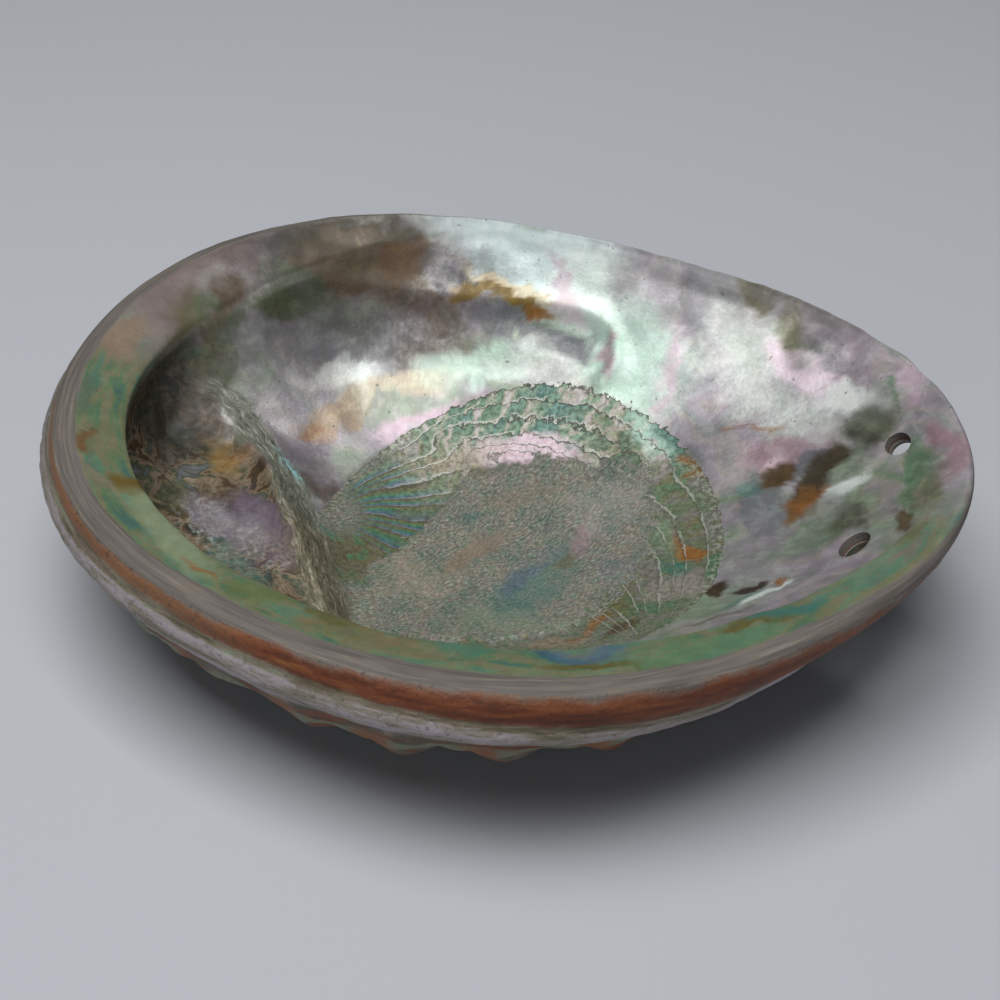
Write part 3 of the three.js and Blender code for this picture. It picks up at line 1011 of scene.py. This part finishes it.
def open_holes(shell, inside_rings):
    """Takes the faces inside each hole's rings away, and joins the rings by a wall."""
    mesh = shell.data
    select_faces(mesh, inside_rings)
    bpy.ops.object.mode_set(mode="EDIT")
    bpy.ops.mesh.select_mode(type="FACE")
    bpy.ops.mesh.delete(type="FACE")
    bpy.ops.mesh.select_mode(type="VERT")
    bpy.ops.mesh.select_all(action="SELECT")
    bpy.ops.mesh.remove_doubles(threshold=1e-6)
    bpy.ops.object.mode_set(mode="OBJECT")
    for hole in HOLES:
        middle, axis = hole_frame(hole)[:2]
        bpy.ops.object.mode_set(mode="EDIT")
        bpy.ops.mesh.select_mode(type="EDGE")
        bpy.ops.mesh.select_all(action="DESELECT")
        bpy.ops.mesh.select_non_manifold()
        bpy.ops.object.mode_set(mode="OBJECT")
        for edge in mesh.edges:
            if edge.select:
                spot = np.array(mesh.vertices[edge.vertices[0]].co) / MM - middle
                far = np.linalg.norm(spot - axis * (spot @ axis)) > 1.4 * hole["along"]
                if far or abs(spot @ axis) > HOLE_DEEPEST:
                    edge.select = False
        mesh.vertices.foreach_set("select", np.zeros(len(mesh.vertices), bool))
        bpy.ops.object.mode_set(mode="EDIT")
        bpy.ops.mesh.bridge_edge_loops()
        bpy.ops.object.mode_set(mode="OBJECT")


# ---- materials

class Value:
    """A socket of the material being made; operators on it add Math nodes."""

    def __init__(self, paint, socket):
        self.paint = paint
        self.socket = socket

    def math(self, operation, *others):
        inputs = dict(enumerate((self,) + others))
        return self.paint.node("ShaderNodeMath", {"operation": operation}, inputs)

    def __add__(self, other):
        return self.math("ADD", other)

    def __mul__(self, other):
        return self.math("MULTIPLY", other)

    def __sub__(self, other):
        return self.math("SUBTRACT", other)

    def __rsub__(self, other):
        return self.paint.node("ShaderNodeMath", {"operation": "SUBTRACT"}, {0: other, 1: self})

    __radd__ = __add__
    __rmul__ = __mul__


class Paint:
    """Adds nodes to one material. Places are in mm, in the shell's frame."""

    def __init__(self, name):
        self.material = bpy.data.materials.new(name)
        self.material.use_nodes = True
        self.tree = self.material.node_tree
        self.shader = self.tree.nodes["Principled BSDF"]

    def node(self, kind, settings=None, inputs=None, output=0):
        """One node of a kind: its settings first, then its sockets' values or links."""
        node = self.tree.nodes.new(kind)
        for name, setting in (settings or {}).items():
            if name == "stops":
                self.set_stops(node.color_ramp, setting)
            else:
                setattr(node, name, setting)
        for name, value in (inputs or {}).items():
            self.put(node.inputs[name], value)
        return Value(self, node.outputs[output])

    def put(self, socket, value):
        """Links a socket to a value of this material, or sets it to a constant."""
        if isinstance(value, Value):
            self.tree.links.new(value.socket, socket)
        else:
            socket.default_value = value

    def set_stops(self, color_ramp, stops):
        for place, _ in stops[2:]:
            color_ramp.elements.new(place)
        for element, (place, colour) in zip(color_ramp.elements, stops):
            element.position = place
            element.color = colour

    def feed(self, **sockets):
        """Values or links for the shader's own sockets; _ stands for a space."""
        for name, value in sockets.items():
            self.put(self.shader.inputs[name.replace("_", " ")], value)

    def place(self):
        own = self.node("ShaderNodeTexCoord", output="Object")
        return self.vector("SCALE", own, Scale=1 / MM)

    def kept(self, name, output="Fac"):
        return self.node("ShaderNodeAttribute", {"attribute_name": name}, output=output)

    def tinted(self, colour, name):
        """A colour under a kept tint, whose edges are made ragged."""
        over, cover = self.kept(name, "Color"), self.kept(name, "Alpha")
        edge = (self.noise(self.place(), 1.6, 4, 0.65) - 0.5) * cover * (1 - cover) * 4
        return self.mix(cover + edge, colour, over)

    def vector(self, operation, *vectors, output=0, **named):
        inputs = dict(enumerate(vectors)) | named
        return self.node("ShaderNodeVectorMath", {"operation": operation}, inputs, output)

    def noise(self, place, size, detail=2.0, roughness=0.5, distortion=0.0, output=0):
        inputs = {"Vector": place, "Scale": 1 / size, "Detail": detail,
                  "Roughness": roughness, "Distortion": distortion}
        return self.node("ShaderNodeTexNoise", {}, inputs, output)

    def warp(self, place, size, by, detail=1.0):
        """Places pushed about by up to half a distance, in swirls of a size."""
        push = self.noise(place, size, detail, output="Color")
        push = self.vector("SUBTRACT", push, (0.5, 0.5, 0.5))
        return self.vector("ADD", place, self.vector("SCALE", push, Scale=by))

    def smooth(self, value, low, high):
        inputs = {"Value": value, "From Min": low, "From Max": high}
        return self.node("ShaderNodeMapRange", {"interpolation_type": "SMOOTHSTEP"}, inputs)

    def mix(self, share, a, b, kind="MIX"):
        settings = {"data_type": "RGBA", "blend_type": kind, "clamp_factor": True}
        return self.node("ShaderNodeMix", settings, {0: share, 6: a, 7: b}, output=2)

    def ramp(self, value, stops):
        """A colour by a value's place among stops: a place, then a colour or its tone."""
        stops = [(place, tone(*colour) if len(colour) == 3 else colour[0])
                 for place, *colour in stops]
        return self.node("ShaderNodeValToRGB", {"stops": stops}, {"Fac": value})

    def turned(self, place, middle, angle, size):
        """Places about a middle, turned and divided by a size on each axis."""
        inputs = {"Vector": place, "Location": middle, "Scale": size,
                  "Rotation": (0, 0, math.radians(angle))}
        return self.node("ShaderNodeMapping", {"vector_type": "TEXTURE"}, inputs)

    def spot(self, place, x, y, half_x, half_y, angle=0, soft=0.5):
        """1 inside an oval seen from above, fading to 0 past its edge."""
        local = self.turned(place, (x, y, 0), angle, (half_x, half_y, 1e6))
        gap = self.vector("LENGTH", local, output="Value")
        return self.smooth(gap, 1 + soft, 1 - soft)

    def bump(self, height, distance, strength=1.0):
        """A normal from a height in shares of a distance in mm."""
        inputs = {"Height": height, "Distance": distance * MM, "Strength": strength}
        return self.node("ShaderNodeBump", {}, inputs, "Normal")


def watered_pearl(paint, place):
    """The smooth pearl's drifting tints and its finer waved rings."""
    drift = paint.noise(paint.warp(place, 22, 14), 24, 2)
    colour = paint.ramp(drift, [
        (0.30, SLATE), (0.42, LAVENDER), (0.50, SILVER), (0.58, SAGE), (0.68, LAVENDER)])
    rings = (paint.noise(paint.warp(place, 9, 4), 19, 1) * 7).math("FRACT")
    tints = paint.ramp(rings, [
        (0.0, SILVER), (0.3, ROSE), (0.5, CREAM), (0.7, SAGE), (1.0, SILVER)])
    return paint.mix(0.22, colour, tints)


def brushed(paint, place, girdle, share, colour):
    """Faint streaks down the wall, soft cloudiness and a few dark specks."""
    down = paint.vector("MULTIPLY", girdle, (1, 1, 0.3))
    streaks = paint.noise(down, 1.2, 1)
    clouds = paint.noise(paint.warp(place, 5, 5), 3.6, 4, 0.68)
    shade = paint.smooth(streaks * 0.16 + clouds * 0.84, 0.36, 0.64)
    cloudy = paint.mix(0.36, colour, paint.ramp(
        shade, [(0.0, SLATE), (0.5, SILVER), (1.0, FROST)]), "SOFT_LIGHT")
    specks = paint.smooth(paint.noise(place, 1.3, 1), 0.27, 0.22)
    return paint.mix(share, colour, paint.mix(specks * 0.6, cloudy, MOSS))


def scar_colour(paint, place, girdle):
    """Colour of the scar, the shares inside it and on its grain, and the grain's flakes."""
    flat = paint.vector("MULTIPLY", place, (1, 1, 0))
    west = paint.spot(place, -31, 5, 19, 17, 0, 0.3)
    banded, lines = banded_scar(paint, place, flat, girdle, west)
    inside = paint.smooth(lines, -0.04, 0.04)
    rim = paint.smooth(paint.kept("bands"), 1.9, 0.9)
    tip = paint.spot(place, -38, 4, 8, 7, 0, 0.5)
    crumbly = (west * rim).math("MAXIMUM", tip)

    grained = paint.turned(paint.warp(flat, 3, 1.6, 1), (0, 0, 0), 48, (0.95, 0.5, 1e6))
    flakes = paint.noise(grained, 1, 4, 0.75)
    ragged = paint.kept("grain") + (paint.noise(flat, 5, 3, 0.68) - 0.5) * 16
    grain = paint.smooth(ragged + (flakes - 0.5) * 8, -0.8, 0.8)
    grain = grain.math("MAXIMUM", crumbly * inside)
    return paint.mix(grain, banded, grainy_scar(paint, flat, flakes)), inside, grain, flakes


def banded_scar(paint, place, flat, girdle, west):
    """Old edges round the scar, each a jagged dark line and a pale line painted as the highlight on
    the terrace's lit edge, and bands between.
    """
    bands = paint.kept("bands")
    low = paint.spot(place, -29, -9, 13, 10, -20, 0.3)
    north = paint.spot(place, 4, 36, 38, 11, -4, 0.3) * (1 - west)
    jag = (paint.noise(flat, 2.1, 3, 0.65) - 0.5) * (0.5 + north * 0.9 - west * 0.1)
    lines = bands * (1 + north * 0.8) + jag
    part = lines.math("FRACT")

    fan = paint.ramp(part, [
        (0.0, 92, 82, 56), (0.2, 100, 104, 64), (0.45, 80, 124, 92),
        (0.7, 66, 116, 116), (0.9, 88, 102, 126)])
    worn = paint.noise(flat, 7, 2)
    fan = paint.mix(paint.smooth(worn, 0.44, 0.62) * 0.5, fan, tone(110, 104, 82))
    triangle = paint.ramp(worn, [
        (0.38, TEAL), (0.44, GREEN), (0.5, 112, 98, 66), (0.6, 116, 110, 92)])
    fan = paint.mix(low * 0.85, fan, triangle)
    own = paint.node("ShaderNodeCombineXYZ", {}, {2: lines.math("FLOOR") * 31.7})
    along = paint.vector("ADD", paint.vector("MULTIPLY", girdle, (1, 1, 0)), own)
    push = paint.vector("SCALE", paint.noise(flat, 3, 2, output="Color"), Scale=9)
    patch = paint.noise(paint.vector("ADD", along, push), 13, 2)
    terraces = paint.ramp(patch, [
        (0.38, 76, 122, 112), (0.46, 104, 132, 106), (0.50, 156, 152, 138),
        (0.54, 178, 166, 172), (0.58, 146, 146, 126), (0.63, 88, 124, 98)])
    arcs = paint.ramp(patch, [
        (0.38, 92, 120, 92), (0.46, 118, 116, 86), (0.52, 132, 128, 124),
        (0.60, 112, 122, 96)])
    arcs = paint.mix(paint.smooth(part, 0.5, 1.0) * 0.35, arcs, tone(86, 126, 98))
    colour = paint.mix(north, arcs, terraces)
    colour = paint.mix(west, colour, fan)
    colour = paint.tinted(colour, "scar_tint")
    crisp = paint.noise(flat, 1.1, 3, 0.7)
    light = paint.ramp(crisp, [(0.38, DARK), (0.62, FROST)])
    colour = paint.mix(0.5, colour, light, "SOFT_LIGHT")

    thin = 0.065 + north * 0.025
    presence = paint.smooth(worn, 0.62, 0.48) * (1 - low * 0.8)
    presence = presence * (1 - paint.spot(place, 6, -27, 24, 7, 0, 0.4) * 0.8)
    # painted highlight along each terrace's lit edge
    pale = paint.smooth(part, 1 - thin * 2, 1 - thin) * presence
    colour = paint.mix(pale * (0.75 - west * 0.45), colour, tone(184, 184, 176))
    dark = paint.smooth(part, thin * 2, thin) * (1 - low * 0.7)
    colour = paint.mix(dark * (0.35 + north * 0.4 + west * 0.25), colour, tone(62, 60, 48))
    crust = paint.smooth(bands, 0.9, 0.3) * paint.smooth(crisp, 0.5, 0.58) * (1 - north)
    return paint.mix(crust * 0.6, colour, tone(176, 180, 170)), lines


def grainy_scar(paint, flat, flakes):
    """The middle of the scar: pale and dark flakes over drifting green, tan and grey."""
    drift = paint.noise(flat, 8, 2, 0.6)
    zones = paint.ramp(drift, [
        (0.34, 84, 118, 110), (0.43, SAGE), (0.5, ASH), (0.56, TAN), (0.64, SAGE)])
    hues = paint.ramp(paint.noise(flat, 1.9, 2, 0.6), [
        (0.36, 70, 120, 112), (0.45, SAGE), (0.53, TAN), (0.62, PINK)])
    zones = paint.tinted(paint.mix(0.4, zones, hues), "grain_tint")
    flaky = paint.ramp(flakes, [
        (0.34, 40, 42, 36), (0.44, 92, 96, 86), (0.51, 132, 136, 126),
        (0.58, 164, 166, 156), (0.67, 220, 220, 214)])
    smooth_patch = paint.kept("grain_tint", "Alpha") * 0.35
    colour = paint.mix(0.42 + smooth_patch, flaky, zones)
    shade = paint.ramp(drift, [(0.38, SLATE), (0.6, SILVER)])
    return paint.mix(0.5, colour, shade, "SOFT_LIGHT")


def ridge_marks(paint, place):
    """The fibrous ridge's share of the surface, and its fibres' colour, with painted cyan glints,
    and height.
    """
    kept = paint.kept("ridge", "Vector")
    across, along, share = [
        paint.node("ShaderNodeSeparateXYZ", {}, {0: kept}, k) for k in range(3)]
    wander = (paint.noise(place, 4, 3, 0.7) - 0.5) * 1.5
    here = paint.smooth(share + wander, 1.3, 0.6) * paint.smooth(along, 2, 12)
    spread = paint.node("ShaderNodeCombineXYZ", {}, {0: across, 1: along})
    spread = paint.vector("ADD", spread, paint.vector(
        "SCALE", paint.noise(place, 5, 2, output="Color"), Scale=2.6))
    fine = paint.noise(paint.vector("MULTIPLY", spread, (1.9, 0.3, 1)), 1, 4, 0.75)
    colour = paint.ramp(fine, [
        (0.34, 76, 78, 68), (0.43, 100, 104, 90), (0.50, 122, 124, 112),
        (0.57, 140, 142, 130), (0.66, 188, 192, 184)])
    golden = paint.smooth(along, 40, 56)
    colour = paint.mix(golden * 0.4, colour, GOLD, "OVERLAY")
    # painted highlight: cyan glints on the fibres near the ridge's upper end
    painted_glint = paint.spot(place, -47.5, 12, 5, 2.4, -40, 0.6)
    colour = paint.mix(painted_glint * paint.smooth(fine, 0.48, 0.56) * 0.8, colour, tone(150, 214, 220))
    return here, colour, fine


def hollow_colour(paint, place):
    """Olive and violet callus, twisted in the deep end and dusty towards the lip."""
    twist = paint.warp(paint.warp(place, 12, 16), 4, 3)
    swirl = paint.noise(twist, 5, 3, 0.6)
    colour = paint.ramp(swirl, [
        (0.3, DARK), (0.42, UMBER), (0.5, TAN), (0.58, MOSS), (0.7, SLATE)])
    dust = paint.noise(paint.warp(place, 2, 1.5), 1.3, 4, 0.7)
    dusty = paint.spot(place, -53, -14, 15, 7, -32, 0.5) * paint.smooth(dust, 0.48, 0.62)
    return paint.mix(dusty * 0.6, colour, CHALK)


def lip_colour(paint, place, girdle):
    """Green and teal pearl on the broad lip, streaked along it."""
    streaks = paint.vector("MULTIPLY", girdle, (0.3, 0.3, 1.3))
    drift = paint.noise(paint.warp(streaks, 7, 7), 5, 4, 0.6)
    colour = paint.ramp(drift, [
        (0.32, 78, 114, 104), (0.41, 102, 128, 92), (0.49, 130, 126, 98),
        (0.56, 112, 134, 104), (0.62, 92, 134, 112), (0.72, 138, 122, 110)])
    north = paint.spot(place, -55, 45, 50, 38, 0, 0.3)
    return paint.mix(north * 0.8, colour, tone(150, 138, 140))


def lip_crust(paint, place, lip):
    """A broken pale crust on the near part of the lip's inner edge."""
    edge = paint.smooth(lip, 0.0, 0.12) * paint.smooth(lip, 0.5, 0.2)
    near = paint.spot(place, -28, -42, 26, 16, -20, 0.4)
    broken = paint.smooth(paint.noise(place, 1.5, 4, 0.75), 0.5, 0.58)
    return edge * near * broken * 0.75


def grey_layer(paint, girdle):
    """The satin grey layer that shows round the lip's edge, in fine lines."""
    lines = paint.vector("MULTIPLY", girdle, (0.05, 0.05, 1.3))
    fine = paint.noise(paint.warp(lines, 3, 0.8), 0.9, 3, 0.65)
    return paint.ramp(fine, [
        (0.3, 94, 89, 83), (0.45, 106, 100, 95), (0.55, 117, 111, 107),
        (0.62, 126, 115, 99), (0.7, 138, 132, 127)])


def pearl(name, lipped, hollowed, scarred):
    """Mother of pearl, with what shows on one part of the inside: the lip with the
    grey layer, the hollow of the coil, or the scar and the ridge."""
    paint = Paint(name)
    place = paint.place()
    girdle = paint.kept("girdle", "Vector")
    lip = paint.kept("lip") if lipped else 0
    hollow = paint.kept("hollow") if hollowed else 0
    scar = ridge = coarse = grey = edge = 0

    colour = watered_pearl(paint, place)
    if hollowed:
        colour = paint.mix(hollow, colour, hollow_colour(paint, place))
    if lipped:
        colour = paint.mix(lip, colour, lip_colour(paint, place, girdle))
    colour = paint.tinted(colour, "tint")
    colour = brushed(paint, place, girdle, 1 - 0.6 * lip, colour)
    height = paint.noise(place, 0.9, 2, 0.6) * 0.12
    if lipped:
        colour = paint.mix(lip_crust(paint, place, lip), colour, CHALK)
    if scarred:
        scarring, inside, grain, flakes = scar_colour(paint, place, girdle)
        scar = inside * (1 - lip) * (1 - hollow)
        colour = paint.mix(scar, colour, scarring)
        ridge, fibres, fine = ridge_marks(paint, place)
        ridge = ridge * (1 - lip)
        colour = paint.mix(ridge, colour, fibres)
        coarse = (scar * grain).math("MAXIMUM", ridge)
        height = height + scar * grain * flakes * 0.4 + ridge * fine * 0.45
    if lipped:
        layer = paint.kept("layer")
        edge = paint.smooth(layer, *EDGE_LAYERS) * (1 - lip)
        colour = paint.mix(edge * 0.15, colour, SLATE)
        grey = paint.smooth(layer + (paint.noise(girdle, 5, 2) - 0.5) * 0.25, -0.12, 0.06)
        colour = paint.mix(grey, colour, grey_layer(paint, girdle))
    dull = 1 - (1 - coarse) * (1 - grey)
    brown = paint.smooth(paint.node("ShaderNodeRGBToBW", {}, {0: colour}), 0.22, 0.08)
    brown = brown * (1 - lip)
    shine = (paint.noise(place, 6, 2) - 0.5) * 0.16
    roughness = 0.39 + 0.05 * scar + 0.2 * dull + 0.1 * lip + 0.06 * hollow
    roughness = roughness + 0.16 * edge + shine + 0.14 * brown
    metal = (0.27 - 0.08 * scar - 0.14 * lip - 0.1 * hollow) * (1 - dull)
    metal = metal * (1 - edge * 0.8) * (1 - brown * 0.5)
    paint.feed(Base_Color=colour, Roughness=roughness, Metallic=metal,
               Normal=paint.bump(height, 0.5, 0.7),
               Coat_Weight=0.2 * (1 - dull) * (1 - edge) * (1 - lip * 0.7) * (1 - brown * 0.8),
               Coat_Roughness=0.18, IOR=1.55)
    return paint.material


def outer_coat():
    """The outside: layers round the side, then a rough coat with worn ribs."""
    paint = Paint("outer_coat")
    place = paint.place()
    girdle = paint.kept("girdle", "Vector")
    layer = paint.kept("layer")
    crests = paint.kept("crests")
    growth = paint.kept("growth")

    streaks = paint.vector("MULTIPLY", girdle, (0.12, 0.12, 1))
    wander = (paint.noise(paint.warp(girdle, 12, 6), 9, 3, 0.6) - 0.5) * 0.7
    at = layer + wander
    fine = paint.noise(streaks, 1.6, 3, 0.6)
    red = paint.ramp(fine, [
        (0.3, 78, 34, 12), (0.45, 104, 50, 22), (0.6, 128, 70, 36),
        (0.75, 140, 94, 50)])
    salmon = paint.smooth(at, 1.5, 1.0)
    red = paint.mix(salmon * 0.5, red, tone(158, 106, 76))
    worn = paint.spot(place, -96, 16, 26, 44, 0, 0.5)
    red = paint.mix(worn * 0.9, red, tone(116, 104, 88))
    rusty = paint.spot(place, -62, -46, 34, 24, -35, 0.4)
    red = paint.mix(rusty * 0.65, red, tone(140, 106, 78))
    green = paint.ramp(fine, [
        (0.3, MOSS), (0.45, 110, 98, 78), (0.6, 142, 134, 116), (0.7, SAGE)])
    cream = paint.ramp(fine, [
        (0.3, 104, 98, 80), (0.45, 146, 138, 126), (0.55, 168, 158, 164),
        (0.7, 176, 168, 170)])
    cream = paint.mix(worn * 0.6, cream, tone(104, 98, 84))

    lines = growth * GROWTH_LINES + paint.noise(place, 18, 2) * 2.5
    mottle = paint.noise(paint.warp(place, 14, 9), 9, 4, 0.6)
    coat = paint.ramp(mottle, [
        (0.30, DARK), (0.42, BRICK), (0.50, MOSS), (0.58, 100, 98, 88), (0.68, TAN)])
    streak = paint.noise(paint.node(
        "ShaderNodeCombineXYZ", {}, {0: lines, 1: mottle * 3}), 1.2, 2)
    coat = paint.mix(paint.smooth(streak, 0.45, 0.7) * 0.6, coat, BRICK)
    coat = paint.mix(paint.smooth(crests, 0.55, 1.0) * 0.6, coat, SAGE)
    flank = paint.kept("flank")
    coat = paint.mix(flank * 0.85, coat, tone(138, 76, 36))

    colour = grey_layer(paint, girdle)
    for start, end, below in (
        (0.96, 1.3, red), (1.8, 2.2, green), (2.8, 3.1, cream), (3.8, 4.3, coat),
    ):
        colour = paint.mix(paint.smooth(at, start, end), colour, below)
    pits = paint.noise(place, 1.1, 4, 0.65)
    colour = paint.mix(paint.smooth(pits, 0.45, 0.3) * 0.5, colour, DARK)
    paint.feed(Base_Color=colour, Roughness=0.62 + (fine - 0.5) * 0.3, Metallic=0.05,
               Normal=paint.bump(pits + fine * 0.4, 0.5, 0.7),
               Coat_Weight=0.08, Coat_Roughness=0.3, IOR=1.5)
    return paint.material


# ---- the studio

CAMERA_LOOKS_AT = (6.8, -19.8, 40.7)
CAMERA_TURN = 14
CAMERA_ABOVE = 39
CAMERA_DISTANCE = 325.7
CAMERA_LENS = 62.3


def aim(thing, at):
    direction = Vector(at) - thing.location
    thing.rotation_euler = direction.to_track_quat("-Z", "Y").to_euler()


def make_camera():
    camera = bpy.data.objects.new("camera", bpy.data.cameras.new("camera"))
    bpy.context.scene.collection.objects.link(camera)
    turn, above = math.radians(CAMERA_TURN), math.radians(CAMERA_ABOVE)
    away = Vector((math.sin(turn) * math.cos(above), -math.cos(turn) * math.cos(above),
                   math.sin(above)))
    at = Vector(CAMERA_LOOKS_AT) * MM
    camera.location = at + away * CAMERA_DISTANCE * MM
    camera.data.lens = CAMERA_LENS
    camera.data.sensor_width = 36
    camera.data.clip_start = 0.01
    aim(camera, at)
    bpy.context.scene.camera = camera


def soft_light(name, place, at, size, power, colour):
    data = bpy.data.lights.new(name, "AREA")
    data.shape = "RECTANGLE"
    data.size, data.size_y = size
    data.energy = power
    data.color = colour
    light = bpy.data.objects.new(name, data)
    bpy.context.scene.collection.objects.link(light)
    light.location = place
    aim(light, at)


def make_studio():
    soft_light("overhead", (-0.08, -0.14, 1.0), (0, 0, 0), (0.8, 0.7), 8.8, (1, 0.99, 0.97))
    soft_light("window", (-0.15, -1.15, 0.6), (0, 0, 0.04), (0.4, 0.8), 1.1, (0.92, 0.96, 1))
    world = bpy.data.worlds.new("room")
    bpy.context.scene.world = world
    world.use_nodes = True
    world.node_tree.nodes["Background"].inputs["Color"].default_value = (0.8, 0.9, 1, 1)
    world.node_tree.nodes["Background"].inputs["Strength"].default_value = 0.035

    bpy.ops.object.select_all(action="DESELECT")
    bpy.ops.mesh.primitive_plane_add(size=6, location=(0, 0, 0))
    floor = bpy.context.object
    floor.name = "floor"
    paint = Paint("paper")
    paint.feed(Base_Color=tone(200, 204, 212), Roughness=0.75)
    floor.data.materials.append(paint.material)
    scene = bpy.context.scene
    scene.view_settings.view_transform = "Standard"
    scene.cycles.max_bounces = 4
    scene.cycles.diffuse_bounces = 2
    scene.cycles.glossy_bounces = 2


# ---- the scene

make_camera()
make_studio()
shell = model_shell()
bpy.ops.object.select_all(action="DESELECT")
shell.select_set(True)
bpy.context.view_layer.objects.active = shell
bpy.ops.object.shade_smooth_by_angle(angle=math.radians(50))
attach(shell, "root")
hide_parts(SHELL)
